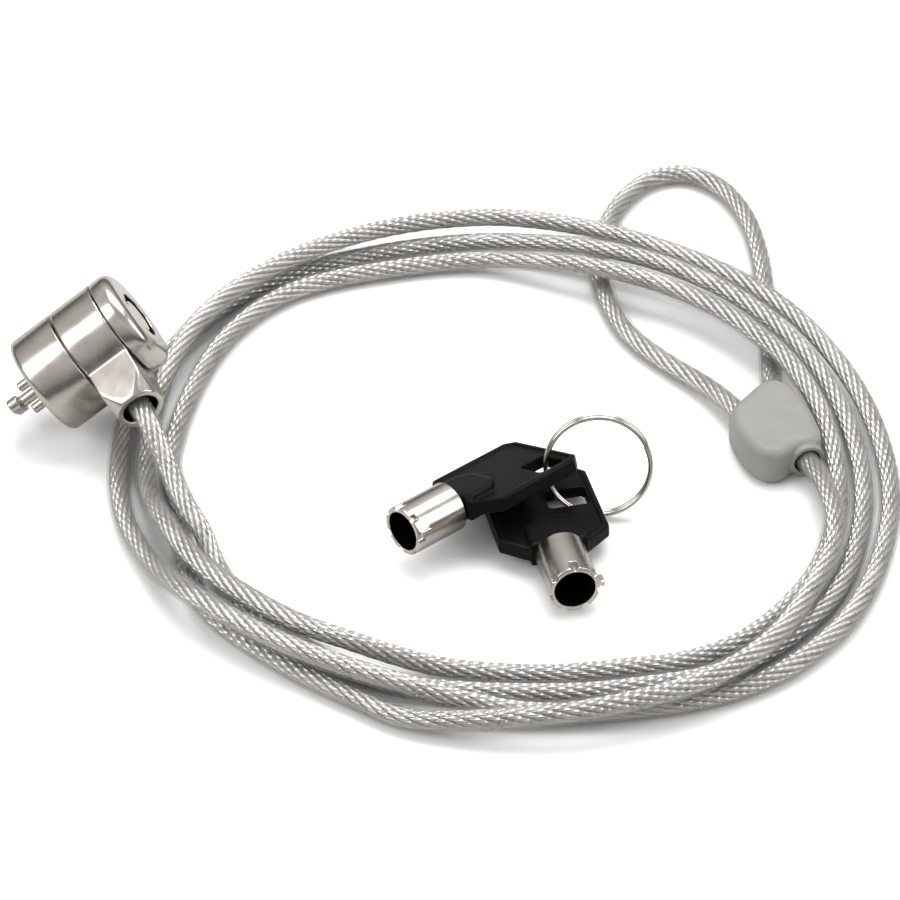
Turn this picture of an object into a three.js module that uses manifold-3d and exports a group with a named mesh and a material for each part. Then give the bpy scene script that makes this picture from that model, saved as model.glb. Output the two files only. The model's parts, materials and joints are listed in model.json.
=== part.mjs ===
// Laptop cable lock: a swivelling lock head with a T-bar nose and a tubular-key plug, a coiled
// steel cable in a clear jacket that ends in a crimped loop, and two tubular keys on a split ring.
// Millimetres, +Z up. The coil lies on the floor; the origin is under the middle of everything.
import * as THREE from "three";
import { mergeVertices } from "three/addons/utils/BufferGeometryUtils.js";
import Module from "manifold-3d";

// ---------------------------------------------------------------- driving dimensions
const ORIGIN_SHIFT = new THREE.Vector3(9.615, -7.555, -0.01); // from the coil's centre to the part's origin

const ROPE_RADIUS = 1.8; // bare wire rope
const JACKET_RADIUS = 2.25;
const JACKET_BORE = 2.05;
const ROPE_SIDES = 6;
const JACKET_SIDES = 7;
const ROPE_TURN_STEP = 9; // most degrees of bend between two rings of the swept rope
const ROPE_LENGTH_STEP = 12; // most millimetres between two rings

const HEAD_RADIUS = 10.3;
const HEAD_CENTRE = [-76.3, 13.45, 17.8]; // middle of the collar
const HEAD_HEADING = 22; // degrees, plan direction from the T-bar to the key face
const HEAD_TILT = 29.8; // degrees above level
const COLLAR_FRONT = -4.5; // places along the head's axis, from the collar's middle
const COLLAR_REAR = 4.5;
const BARREL_FRONT = -14.6;
const BARREL_REAR = -4.95;
const CAP_FRONT = 4.8;
const CAP_REAR = 9.05;
const SHEAR_LINE = 0.1; // where the turning plug meets the fixed pin bushing
const LUG_LENGTH = 18.4; // from the head's axis to the lug's mouth
const LUG_DROP = 12; // degrees, how far the lug turns below level
const LUG_ROOT_HALF_THICK = 5.7; // the lug's flats narrow towards its mouth
const LUG_MOUTH_RADIUS = 4.6;
const RING_BORE = 8.25; // inside of the collar
const ROPE_INNER_END = 9.4; // where the bare rope stops inside the lug, from the head's axis
const JACKET_INNER_END = 13.2;
const SHELL_BORE = 8.08; // inside of the front barrel and the rear cap
const FRONT_WALL = 2.1;
const REAR_WALL = 2.15;
const HOUSING_OUTER = 7.95; // inner sleeve that holds the works together
const HOUSING_BORE = 6.95;
const NOSE_TURN = 25; // degrees from the lug to the guide pins' line, about the head's axis
const GUIDE_PIN_RADIUS = 1;
const GUIDE_PIN_OFFSET = 2.5;
const GUIDE_PIN_REACH = 3.65; // how far the guide pins stand out of the front face
const SPINDLE_RADIUS = 1.2;
const KEYWAY_RADIUS = 4.85;
const POST_RADIUS = 3.6;
const PIN_COUNT = 7;
const PIN_CIRCLE = 4.27; // radius of the circle that the pins stand on
const PIN_RADIUS = 0.75;
const PIN_BORE = 0.87;
const PIN_CODE = [0.5, 1.3, 0.9, 1.7, 0.5, 1.3, 1.7]; // the keys' coded depths
const DRIVER_LENGTH = 2.9;
const SPINDLE_BORE = 2.35; // hole through the bushing
const BUSHING_FRONT = -8;
const BUSHING_REAR = SHEAR_LINE - 0.12;
const BORE_FLOOR = -7.2; // bottom of the pin bores
const PLUG_FRONT = SHEAR_LINE + 0.08;
const FLANGE_REAR = 3.3;
const SPINDLE_REAR = SHEAR_LINE + 2.4;
const BUSHING_PIN_PLACE = -4;
const BUSHING_PIN_RADIUS = 0.7;
const BUSHING_PIN_INNER = 5.8; // where the cross pin ends, from the head's axis
const CLIP_PLACE = -8.9;
const CLIP_THICK = 0.6;
const T_BAR_SOCKET = BARREL_FRONT - 0.6; // where the T-bar's stem meets the spindle

const COVER_CENTRE = [51.7, 1.6]; // loop cover, in plan
const COVER_HEADING = 105.8; // plan direction of the rope through the cover
const COVER_BASE = 0.05;
const COVER_HEIGHT = 8.4;
const COVER_ROPE_HEIGHT = 4.1;
const LIVE_LEG = 4; // sideways offset of the rope's live leg in the cover
const DEAD_LEG = -4.2;

const KEY_OUTER = 4.75; // standard 3/8 inch tubular key
const KEY_BORE = 3.8;
const BARREL_LENGTH = 11.8; // from the mouth to the head
const KEY_HEAD_END = 35.8;
const KEY_HEAD_HALF_WIDTH = 10.4;
const KEY_HEAD_THICKNESS = 3;
const KEY_HUB_THICKNESS = 5; // the head is thicker next to the barrel
const SHANK_RADIUS = 1.6; // the barrel's tail inside the head
const SHANK_LENGTH = 6.5;
const RING_RADIUS = 9.75;
const RING_CENTRE = [17.9, -14, 10.45];
const RING_LEAN = 75; // degrees, how steeply the ring stands
const RING_WIRE = 0.45;

// ---------------------------------------------------------------- materials
const finish = (color, roughness, metalness) =>
  new THREE.MeshStandardMaterial({ color, roughness, metalness });
const satinNickel = finish(0xbeb6af, 0.38, 1);
const polishedNickel = finish(0xd2cdc8, 0.2, 1);
const steel = finish(0xb4b4b2, 0.35, 1);
const brass = finish(0xc7a24a, 0.35, 1);
const clearPlastic = finish(0xd9d8d4, 0.25, 0);
const coverMaterial = finish(0xb9b7b2, 0.45, 0.4);
const blackPlastic = finish(0x141414, 0.4, 0);

// ---------------------------------------------------------------- solids
const wasm = await Module();
wasm.setup();

function toSolid(geometry) {
  const bare = geometry.clone();
  bare.deleteAttribute("normal");
  bare.deleteAttribute("uv");
  const merged = mergeVertices(bare, 1e-4);
  const vertProperties = merged.attributes.position.array;
  const corners = merged.index.array;
  const kept = [];
  for (let i = 0; i < corners.length; i += 3) {
    const [a, b, c] = corners.slice(i, i + 3);
    if (a !== b && b !== c && c !== a) kept.push(a, b, c);
  }
  const triVerts = new Uint32Array(kept);
  return new wasm.Manifold(new wasm.Mesh({ numProp: 3, vertProperties, triVerts }));
}

function toGeometry(solid) {
  const mesh = solid.getMesh();
  const geometry = new THREE.BufferGeometry();
  geometry.setAttribute("position", new THREE.BufferAttribute(mesh.vertProperties, 3));
  geometry.setIndex(new THREE.BufferAttribute(mesh.triVerts, 1));
  geometry.computeVertexNormals();
  return geometry;
}

const cut = (base, ...tools) =>
  toGeometry(tools.reduce((solid, tool) => solid.subtract(toSolid(tool)), toSolid(base)));

const join = (base, ...others) =>
  toGeometry(others.reduce((solid, other) => solid.add(toSolid(other)), toSolid(base)));

// A solid of revolution about Z. Profile points are [radius, z], going up on the outside.
function revolve(profile, segments = 32) {
  const points = profile.map(([radius, z]) => new THREE.Vector2(radius, z));
  return new THREE.LatheGeometry(points, segments).rotateX(Math.PI / 2);
}

const disc = (radius, low, high, segments = 32) =>
  revolve([[0, low], [radius, low], [radius, high], [0, high]], segments);

const tube = (outer, inner, low, high, segments = 32) =>
  revolve([[inner, low], [outer, low], [outer, high], [inner, high], [inner, low]], segments);

const box = (low, high) =>
  new THREE.BoxGeometry(high[0] - low[0], high[1] - low[1], high[2] - low[2]).translate(
    (low[0] + high[0]) / 2,
    (low[1] + high[1]) / 2,
    (low[2] + high[2]) / 2,
  );

const radians = THREE.MathUtils.degToRad;

function polar(radius, degrees, z = 0) {
  return [radius * Math.cos(radians(degrees)), radius * Math.sin(radians(degrees)), z];
}

const part = new THREE.Group();
part.position.set(ORIGIN_SHIFT.x, ORIGIN_SHIFT.y, ORIGIN_SHIFT.z);

function add(group, name, geometry, material) {
  const mesh = new THREE.Mesh(geometry, material);
  mesh.name = name;
  group.add(mesh);
  return mesh;
}

// ---------------------------------------------------------------- lock head frame
// Local Z runs from the T-bar to the key face, local X runs out along the lug.
const headAxis = new THREE.Vector3(
  Math.cos(radians(HEAD_TILT)) * Math.cos(radians(HEAD_HEADING)),
  Math.cos(radians(HEAD_TILT)) * Math.sin(radians(HEAD_HEADING)),
  Math.sin(radians(HEAD_TILT)),
);
const levelSide = new THREE.Vector3(0, 0, 1).cross(headAxis).normalize().negate();
const lugAxis = levelSide.applyAxisAngle(headAxis, radians(LUG_DROP));
const headFrame = new THREE.Matrix4().makeBasis(
  lugAxis,
  new THREE.Vector3().crossVectors(headAxis, lugAxis),
  headAxis,
);
const head = new THREE.Group();
head.position.set(...HEAD_CENTRE);
head.quaternion.setFromRotationMatrix(headFrame);
part.add(head);

const fromHead = (x, y, z) =>
  new THREE.Vector3(x, y, z).applyMatrix4(headFrame).add(new THREE.Vector3(...HEAD_CENTRE));

// ---------------------------------------------------------------- cable
// Stations of the rope's centre line about the coil's middle: angle (degrees, anticlockwise from
// +X), radius, height. The rope leaves the lug at the left, and makes three and a half turns.
const COIL_STATIONS = [
  // first turn: down from the lug, under the second strand, out to the right
  [192, 63.6, 10.0], [200, 62.4, 8.0], [206, 61.4, 5.8], [212, 61.9, 3.2], [220, 62.9, 2.35],
  [237, 64.4, 2.35], [249, 66.0, 2.35], [257, 65.7, 2.35], [265, 65.5, 2.35],
  [272, 65.6, 2.35], [280, 66.7, 2.35], [290, 68.2, 2.35], [300, 71.1, 2.35],
  [310, 72.7, 2.35], [325, 72.7, 2.35], [338, 70.8, 2.35], [352, 68.8, 2.35],
  [366, 66.8, 3.4], [380, 64.8, 5.6], [394, 62.6, 7.6], [410, 61.2, 7.8], [428, 60.6, 7.4],
  [442, 61.6, 5.6], [454, 64.6, 3.4], [471, 66.8, 2.35], [490, 70.0, 2.35],
  // second turn: outermost at the left, over the bundle, outermost at the right
  [510, 71.7, 2.35], [530, 72.9, 2.35], [552, 73.0, 2.35], [566, 72.3, 3.5], [572, 72.1, 5.0],
  [578, 71.7, 6.8], [588, 70.2, 7.1], [597, 69.3, 7.0], [609, 68.8, 6.4], [617, 69.1, 5.8],
  [625, 69.9, 4.4], [632, 70.5, 2.9], [640, 71.6, 2.35], [650, 73.6, 2.35], [660, 76.2, 2.35],
  [670, 77.9, 2.35], [683, 77.9, 2.35], [697, 75.9, 2.35], [710, 74.2, 2.4],
  [724, 71.9, 3.5], [738, 69.9, 5.0], [754, 67.9, 6.9], [772, 66.4, 7.05], [790, 66.3, 7.05],
  [803, 67.3, 7.05], [814, 68.0, 7.1], [831, 68.4, 7.1], [850, 68.9, 7.1],
  // third turn: down to the left, over the first turn, inside the bundle at the bottom
  [870, 68.9, 7.0], [886, 68.2, 4.3], [902, 67.7, 2.5], [910, 67.6, 3.2], [916, 67.4, 5.2],
  [922, 67.1, 6.8], [930, 66.5, 7.1], [940, 65.3, 7.1], [957, 63.8, 7.1], [963, 63.0, 6.8],
  [969, 61.9, 5.4], [977, 60.7, 3.2], [985, 60.4, 2.35], [992, 60.6, 2.35], [1000, 61.8, 2.35],
  [1010, 63.2, 2.35], [1020, 66.2, 2.35], [1030, 67.8, 2.35], [1045, 67.3, 2.35],
  [1058, 65.9, 2.35], [1072, 64.1, 2.4], [1086, 62.2, 4.6], [1100, 59.8, 7.1], [1114, 57.6, 7.4],
  [1130, 56.1, 7.1], [1148, 54.6, 7.2], [1160, 55.6, 5.9], [1174, 59.0, 3.0],
  [1194, 61.3, 2.35], [1212, 65.2, 2.35],
  // last half turn: low at the left, outermost at the bottom, then over to the loop cover
  [1230, 64.4, 2.35], [1262, 63.0, 2.35], [1278, 62.8, 2.35], [1286, 65.3, 2.35],
  [1293, 67.3, 2.35], [1301, 69.2, 2.35], [1317, 69.9, 2.35], [1329, 71.6, 2.35],
  [1337, 73.9, 2.6], [1345, 74.5, 4.4], [1352, 74.9, 5.7], [1360, 75.4, 6.6],
  [1370, 75.6, 7.0], [1380, 75.7, 7.05], [1390, 74.2, 7.05], [1400, 71.2, 7.05],
  [1410, 68.9, 7.05], [1417, 66.7, 7.0], [1424, 63.2, 6.6], [1429, 60.9, 5.6],
];

// The loop beyond the cover, in plan about the coil's middle: x, y, height.
const LOOP_STATIONS = [
  [52.5, 18.0, 3.1], [52.7, 23.0, 2.4], [53.0, 30.0, 2.3], [53.2, 40.0, 2.3], [53.2, 53.0, 2.3],
  [52.2, 67.0, 2.3], [49.6, 78.0, 2.3], [45.0, 86.0, 2.3], [38.7, 89.8, 2.3],
  [32.2, 88.4, 2.3], [26.8, 82.8, 2.3], [22.2, 73.0, 2.3], [19.7, 62.0, 2.3],
  [20.2, 51.0, 2.3], [24.4, 37.0, 2.3], [31.4, 27.6, 2.3], [39.0, 19.4, 2.8],
];

const coverAlong = new THREE.Vector3(...polar(1, COVER_HEADING));
const coverSide = new THREE.Vector3(...polar(1, COVER_HEADING - 90));
const fromCover = (side, along, z) =>
  new THREE.Vector3(COVER_CENTRE[0], COVER_CENTRE[1], z)
    .addScaledVector(coverSide, side)
    .addScaledVector(coverAlong, along);

const SLEEVE_START = -4; // the crimped ferrule, along the rope inside the cover
const SLEEVE_END = 6;

function ropeCurve() {
  const points = [
    fromHead(ROPE_INNER_END, 0, 0),
    fromHead(JACKET_INNER_END, 0, 0),
    fromHead(LUG_LENGTH, 0, 0),
    fromHead(LUG_LENGTH + 4, 0, 0),
  ];
  for (const [angle, radius, z] of COIL_STATIONS) {
    points.push(new THREE.Vector3(...polar(radius, angle, z)));
  }
  for (const along of [-8, SLEEVE_START, 1, SLEEVE_END, 11]) {
    points.push(fromCover(LIVE_LEG, along, COVER_ROPE_HEIGHT));
  }
  for (const station of LOOP_STATIONS) points.push(new THREE.Vector3(...station));
  for (const along of [10, SLEEVE_END, 1, SLEEVE_START - 1.5]) {
    points.push(fromCover(DEAD_LEG, along, COVER_ROPE_HEIGHT));
  }
  return new THREE.CatmullRomCurve3(points, false, "centripetal");
}

// Rings of the swept rope: closer together where the rope bends more, and one at each marked place.
function ropeRings(curve) {
  const FINE_STEPS = 3000;
  curve.arcLengthDivisions = FINE_STEPS;
  const marks = [
    fromHead(JACKET_INNER_END, 0, 0),
    fromCover(LIVE_LEG, SLEEVE_START - 0.6, COVER_ROPE_HEIGHT),
    fromCover(LIVE_LEG, SLEEVE_END + 0.6, COVER_ROPE_HEIGHT),
    fromCover(DEAD_LEG, SLEEVE_END + 0.6, COVER_ROPE_HEIGHT),
  ];
  const fine = curve.getSpacedPoints(FINE_STEPS);
  const nearest = marks.map((mark) => {
    const gaps = fine.map((point) => point.distanceTo(mark));
    return gaps.indexOf(Math.min(...gaps));
  });
  const rings = [];
  const markRings = [];
  let turned = 0;
  let run = 0;
  for (let i = 0; i <= FINE_STEPS; i++) {
    const direction = curve.getTangentAt(i / FINE_STEPS);
    if (i > 0) {
      const before = curve.getTangentAt((i - 1) / FINE_STEPS);
      turned += THREE.MathUtils.radToDeg(before.angleTo(direction));
      run += fine[i].distanceTo(fine[i - 1]);
    }
    const marked = nearest.includes(i);
    const due = turned > ROPE_TURN_STEP || run > ROPE_LENGTH_STEP;
    if (i === 0 || i === FINE_STEPS || marked || due) {
      if (marked) markRings.push(rings.length);
      rings.push({ point: fine[i], tangent: direction });
      turned = 0;
      run = 0;
    }
  }
  return { rings, markRings };
}

// A curve through a run of rings, so that rope and jacket bend at the same places.
class RingRun extends THREE.Curve {
  constructor(rings) {
    super();
    this.rings = rings;
  }
  getPoint(t) {
    return this.rings[Math.round(t * (this.rings.length - 1))].point.clone();
  }
  getPointAt(t) {
    return this.getPoint(t);
  }
  getTangentAt(t) {
    return this.rings[Math.round(t * (this.rings.length - 1))].tangent.clone();
  }
}

function polygon(radius, sides, Kind = THREE.Shape) {
  const corners = [];
  for (let i = 0; i < sides; i++) {
    const angle = (2 * Math.PI * i) / sides;
    corners.push(new THREE.Vector2(radius * Math.cos(angle), radius * Math.sin(angle)));
  }
  return new Kind(corners);
}

function sweep(rings, shape) {
  const extrudePath = new RingRun(rings);
  return new THREE.ExtrudeGeometry(shape, { steps: rings.length - 1, extrudePath });
}

function jacketShape() {
  const shape = polygon(JACKET_RADIUS, JACKET_SIDES);
  shape.holes.push(polygon(JACKET_BORE, JACKET_SIDES, THREE.Path));
  return shape;
}

const { rings: ropeRingList, markRings } = ropeRings(ropeCurve());
const [jacketStart, mainEnd, loopStart, loopEnd] = markRings;
add(part, "wire_rope", sweep(ropeRingList, polygon(ROPE_RADIUS, ROPE_SIDES)), steel);
const mainRings = ropeRingList.slice(jacketStart, mainEnd + 1);
add(part, "cable_jacket", sweep(mainRings, jacketShape()), clearPlastic);
const loopRings = ropeRingList.slice(loopStart, loopEnd + 1);
add(part, "loop_jacket", sweep(loopRings, jacketShape()), clearPlastic);

// ---------------------------------------------------------------- ferrule and loop cover
const coverGroup = new THREE.Group();
coverGroup.position.set(COVER_CENTRE[0], COVER_CENTRE[1], 0);
coverGroup.rotation.z = radians(COVER_HEADING - 90);
part.add(coverGroup);

// A round bar along the rope's direction in the cover.
const coverBar = (radius, side, from, to, segments = 16) =>
  disc(radius, from, to, segments).rotateX(-Math.PI / 2).translate(side, 0, COVER_ROPE_HEIGHT);

function stadiumBar(radius, from, to) {
  const middle = box(
    [DEAD_LEG, from, COVER_ROPE_HEIGHT - radius],
    [LIVE_LEG, to, COVER_ROPE_HEIGHT + radius],
  );
  return join(middle, coverBar(radius, LIVE_LEG, from, to), coverBar(radius, DEAD_LEG, from, to));
}

function crimpSleeve() {
  const SLEEVE_RADIUS = 2.8;
  const SLEEVE_BORE = 1.95;
  return cut(
    stadiumBar(SLEEVE_RADIUS, SLEEVE_START, SLEEVE_END),
    coverBar(SLEEVE_BORE, LIVE_LEG, SLEEVE_START - 1, SLEEVE_END + 1, 12),
    coverBar(SLEEVE_BORE, DEAD_LEG, SLEEVE_START - 1, SLEEVE_END + 1, 12),
  );
}

function coverOutline() {
  // corners of the cover in plan: across the rope, along the rope, corner radius
  const corners = [
    [7.6, -7.6, 2.2], [7.9, 2, 5], [6.4, 11.6, 2.2], [0.6, 12.2, 2.5], [-7.8, 6.5, 3],
    [-7.8, -9, 2.3], [-4.4, -12, 1.8], [-0.6, -10.5, 1.8], [1.6, -7.8, 1.4],
  ].map(([x, y, radius]) => ({ at: new THREE.Vector2(x, y), radius }));
  const shape = new THREE.Shape();
  corners.forEach(({ at, radius }, i) => {
    const before = corners.at(i - 1).at;
    const after = corners[(i + 1) % corners.length].at;
    const start = at.clone().add(before.clone().sub(at).setLength(radius));
    const end = at.clone().add(after.clone().sub(at).setLength(radius));
    if (i === 0) shape.moveTo(start.x, start.y);
    else shape.lineTo(start.x, start.y);
    shape.quadraticCurveTo(at.x, at.y, end.x, end.y);
  });
  shape.closePath();
  return shape;
}

function loopCover() {
  const BEVEL = 1.2;
  const body = new THREE.ExtrudeGeometry(coverOutline(), {
    depth: COVER_HEIGHT - 2 * BEVEL,
    bevelEnabled: true,
    bevelThickness: BEVEL,
    bevelSize: BEVEL,
    bevelOffset: -BEVEL,
    bevelSegments: 2,
    curveSegments: 4,
  }).translate(0, 0, COVER_BASE + BEVEL);
  const CHANNEL = 2.6;
  const POCKET = 3.1;
  return cut(
    body,
    stadiumBar(POCKET, SLEEVE_START - 1.8, SLEEVE_END + 0.4),
    coverBar(CHANNEL, LIVE_LEG, -16, 16),
    coverBar(CHANNEL, DEAD_LEG, 0, 16),
  );
}

add(coverGroup, "crimp_sleeve", crimpSleeve(), steel);
add(coverGroup, "loop_cover", loopCover(), coverMaterial);

// ---------------------------------------------------------------- swivel collar with its lug

// A closed skin through equal-sided sections, each a list of points.
function loft(sections) {
  const sides = sections[0].length;
  const positions = sections.flat(2);
  const index = [];
  sections.slice(1).forEach((_, s) => {
    for (let i = 0; i < sides; i++) {
      const a = s * sides + i;
      const b = s * sides + ((i + 1) % sides);
      index.push(a, b, b + sides, a, b + sides, a + sides);
    }
  });
  const last = (sections.length - 1) * sides;
  for (let i = 1; i < sides - 1; i++) {
    index.push(0, i + 1, i);
    index.push(last, last + i, last + i + 1);
  }
  const geometry = new THREE.BufferGeometry();
  geometry.setAttribute("position", new THREE.Float32BufferAttribute(positions, 3));
  geometry.setIndex(index);
  return geometry;
}

// A section across the lug at x: a rounded rectangle that a power of 2 makes round.
function lugSection(x, halfY, halfZ, power) {
  const SIDES = 24;
  const ring = [];
  for (let i = 0; i < SIDES; i++) {
    const angle = (2 * Math.PI * i) / SIDES;
    const c = Math.cos(angle);
    const s = Math.sin(angle);
    const swell = (Math.abs(c) ** power + Math.abs(s) ** power) ** (-1 / power);
    ring.push([x, halfY * c * swell, halfZ * s * swell]);
  }
  return ring;
}

function swivelCollar() {
  const EDGE = 0.25; // small chamfer on the ring's edges
  const ring = revolve([
    [RING_BORE, COLLAR_FRONT],
    [HEAD_RADIUS - EDGE, COLLAR_FRONT],
    [HEAD_RADIUS, COLLAR_FRONT + EDGE],
    [HEAD_RADIUS, COLLAR_REAR - EDGE],
    [HEAD_RADIUS - EDGE, COLLAR_REAR],
    [RING_BORE, COLLAR_REAR],
    [RING_BORE, COLLAR_FRONT],
  ], 40);
  const halfWidth = (COLLAR_REAR - COLLAR_FRONT) / 2 - 0.05;
  const lug = loft([
    lugSection(6.5, LUG_ROOT_HALF_THICK, halfWidth, 12),
    lugSection(11.6, LUG_ROOT_HALF_THICK - 0.4, halfWidth, 9),
    lugSection(14.2, LUG_ROOT_HALF_THICK - 0.7, halfWidth, 4),
    lugSection(16.6, LUG_MOUTH_RADIUS + 0.1, LUG_MOUTH_RADIUS, 2.3),
    lugSection(LUG_LENGTH - 0.4, LUG_MOUTH_RADIUS, LUG_MOUTH_RADIUS, 2),
    lugSection(LUG_LENGTH, LUG_MOUTH_RADIUS - 0.4, LUG_MOUTH_RADIUS - 0.4, 2),
  ]);
  const along = (geometry) => geometry.rotateY(Math.PI / 2);
  const MOUTH_BORE = 3;
  const SHOULDER_BORE = 2.45;
  const CHAMBER = 3.5;
  const shoulder = JACKET_INNER_END - 0.4;
  return cut(
    join(ring, lug),
    disc(RING_BORE, COLLAR_FRONT - 1, COLLAR_REAR + 1, 40),
    along(disc(MOUTH_BORE, shoulder + 2.2, LUG_LENGTH + 1, 24)),
    along(disc(SHOULDER_BORE, shoulder - 0.5, shoulder + 3, 24)),
    along(disc(CHAMBER, 5, shoulder, 24)),
  );
}

add(head, "swivel_collar", swivelCollar(), satinNickel);
const stopSleeve = tube(3.3, 1.9, ROPE_INNER_END + 0.2, JACKET_INNER_END - 0.7, 16);
add(head, "rope_stop", stopSleeve.rotateY(Math.PI / 2), steel);

// ---------------------------------------------------------------- lock head shells

const guidePinPlaces = [0, 180].map((turn) => polar(GUIDE_PIN_OFFSET, NOSE_TURN + turn));

function frontBarrel() {
  const CORNER = 1.4;
  const inner = BARREL_FRONT + FRONT_WALL;
  const corner = [0, 30, 60, 90].map((degrees) => [
    HEAD_RADIUS - CORNER + CORNER * Math.sin(radians(degrees)),
    BARREL_FRONT + CORNER - CORNER * Math.cos(radians(degrees)),
  ]);
  const shell = revolve([
    [SPINDLE_RADIUS + 0.12, BARREL_FRONT],
    ...corner,
    [HEAD_RADIUS, BARREL_REAR - 0.2],
    [HEAD_RADIUS - 0.2, BARREL_REAR],
    [SHELL_BORE, BARREL_REAR],
    [SHELL_BORE, inner],
    [SPINDLE_RADIUS + 0.12, inner],
    [SPINDLE_RADIUS + 0.12, BARREL_FRONT],
  ], 40);
  const holes = guidePinPlaces.map(([x, y]) =>
    disc(GUIDE_PIN_RADIUS + 0.05, BARREL_FRONT - 1, inner + 1, 12).translate(x, y, 0),
  );
  return cut(shell, ...holes);
}

function guidePin([x, y]) {
  const tip = BARREL_FRONT - GUIDE_PIN_REACH;
  return revolve([
    [0, tip], [GUIDE_PIN_RADIUS - 0.3, tip], [GUIDE_PIN_RADIUS, tip + 0.3],
    [GUIDE_PIN_RADIUS, BARREL_FRONT + FRONT_WALL - 0.2], [0, BARREL_FRONT + FRONT_WALL - 0.2],
  ], 12).translate(x, y, 0);
}

function rearCap() {
  const ROUNDING = 2.2;
  const inner = CAP_REAR - REAR_WALL;
  const edge = [0, 22.5, 45, 67.5, 90].map((degrees) => [
    HEAD_RADIUS - ROUNDING + ROUNDING * Math.cos(radians(degrees)),
    CAP_REAR - ROUNDING + ROUNDING * Math.sin(radians(degrees)),
  ]);
  const shell = revolve([
    [SHELL_BORE, CAP_FRONT],
    [HEAD_RADIUS - 0.2, CAP_FRONT],
    [HEAD_RADIUS, CAP_FRONT + 0.2],
    ...edge,
    [KEYWAY_RADIUS, CAP_REAR],
    [KEYWAY_RADIUS, inner],
    [SHELL_BORE, inner],
    [SHELL_BORE, CAP_FRONT],
  ], 40);
  const NOTCH_HALF_WIDTH = 0.8; // room for the key's outside tooth
  const NOTCH_DEPTH = 1.1;
  const notch = box(
    [KEYWAY_RADIUS - 1, -NOTCH_HALF_WIDTH, inner - 1],
    [KEYWAY_RADIUS + NOTCH_DEPTH, NOTCH_HALF_WIDTH, CAP_REAR + 1],
  ).rotateZ(radians(-90));
  return cut(shell, notch);
}

const HOUSING_FRONT = BARREL_FRONT + FRONT_WALL + 0.15;
const HOUSING_REAR = CAP_REAR - REAR_WALL - 0.15;
const bushingPinBar = (radius, from, to) =>
  disc(radius, from, to, 10).rotateY(Math.PI / 2).translate(0, 0, BUSHING_PIN_PLACE);

function lockHousing() {
  const shell = tube(HOUSING_OUTER, HOUSING_BORE, HOUSING_FRONT, HOUSING_REAR, 32);
  return cut(shell, bushingPinBar(BUSHING_PIN_RADIUS + 0.06, BUSHING_PIN_INNER - 1, HEAD_RADIUS));
}

add(head, "front_barrel", frontBarrel(), satinNickel);
guidePinPlaces.forEach((place, i) => {
  add(head, `guide_pin_${i + 1}`, guidePin(place), satinNickel);
});
add(head, "rear_cap", rearCap(), polishedNickel);
add(head, "lock_housing", lockHousing(), steel);

// ---------------------------------------------------------------- tubular lock works
const pinPlaces = Array.from({ length: PIN_COUNT }, (_, i) =>
  polar(PIN_CIRCLE, ((i + 0.5) * 360) / PIN_COUNT),
);

const pinBores = (from, to) =>
  pinPlaces.map(([x, y]) => disc(PIN_BORE, from, to, 12).translate(x, y, 0));

function pinBushing() {
  const outer = HOUSING_BORE - 0.1;
  return cut(
    tube(outer, SPINDLE_BORE, BUSHING_FRONT, BUSHING_REAR, 28),
    ...pinBores(BORE_FLOOR, SHEAR_LINE + 1),
    bushingPinBar(BUSHING_PIN_RADIUS + 0.06, BUSHING_PIN_INNER - 0.1, HEAD_RADIUS),
  );
}

function pinSpring([x, y]) {
  const TURNS = 3;
  const RING_POINTS = 6;
  const WIRE = 0.13;
  const low = BORE_FLOOR + WIRE + 0.06;
  const high = BUSHING_REAR - DRIVER_LENGTH - WIRE - 0.1;
  const points = [];
  for (let i = 0; i <= TURNS * RING_POINTS; i++) {
    const along = i / (TURNS * RING_POINTS);
    const [px, py] = polar(PIN_RADIUS - WIRE - 0.05, (i * 360) / RING_POINTS);
    points.push(new THREE.Vector3(x + px, y + py, low + (high - low) * along));
  }
  const rings = points.map((point, i) => {
    const before = points[Math.max(0, i - 1)];
    const after = points[Math.min(points.length - 1, i + 1)];
    return { point, tangent: after.clone().sub(before).normalize() };
  });
  return sweep(rings, polygon(WIRE, 4));
}


function plug() {
  const body = revolve([
    [0, PLUG_FRONT], [HOUSING_BORE - 0.15, PLUG_FRONT],
    [HOUSING_BORE - 0.15, FLANGE_REAR], [POST_RADIUS, FLANGE_REAR],
    [POST_RADIUS, CAP_REAR - 0.6], [POST_RADIUS - 0.3, CAP_REAR - 0.3], [0, CAP_REAR - 0.3],
  ], 28);
  const socket = disc(SPINDLE_RADIUS + 0.08, -1, SPINDLE_REAR + 0.1, 16);
  return cut(body, socket, ...pinBores(-1, FLANGE_REAR + 2));
}

function keyPin([x, y], i) {
  const low = PLUG_FRONT;
  const high = FLANGE_REAR + PIN_CODE[i];
  return revolve([
    [0, low], [PIN_RADIUS, low], [PIN_RADIUS, high - 0.25], [PIN_RADIUS - 0.3, high], [0, high],
  ], 10).translate(x, y, 0);
}


function spindle() {
  const SHOULDER = 2.1;
  const GROOVE = 1.0;
  const collarFront = CLIP_PLACE - 0.8;
  const grooveFront = CLIP_PLACE - CLIP_THICK / 2 - 0.06;
  const grooveRear = CLIP_PLACE + CLIP_THICK / 2 + 0.06;
  return revolve([
    [0, T_BAR_SOCKET + 0.05],
    [SPINDLE_RADIUS, T_BAR_SOCKET + 0.05],
    [SPINDLE_RADIUS, collarFront],
    [SHOULDER, collarFront],
    [SHOULDER, grooveFront],
    [GROOVE, grooveFront],
    [GROOVE, grooveRear],
    [SHOULDER, grooveRear],
    [SHOULDER, SHEAR_LINE],
    [SPINDLE_RADIUS, SHEAR_LINE],
    [SPINDLE_RADIUS, SPINDLE_REAR],
    [0, SPINDLE_REAR],
  ], 20);
}

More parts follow.
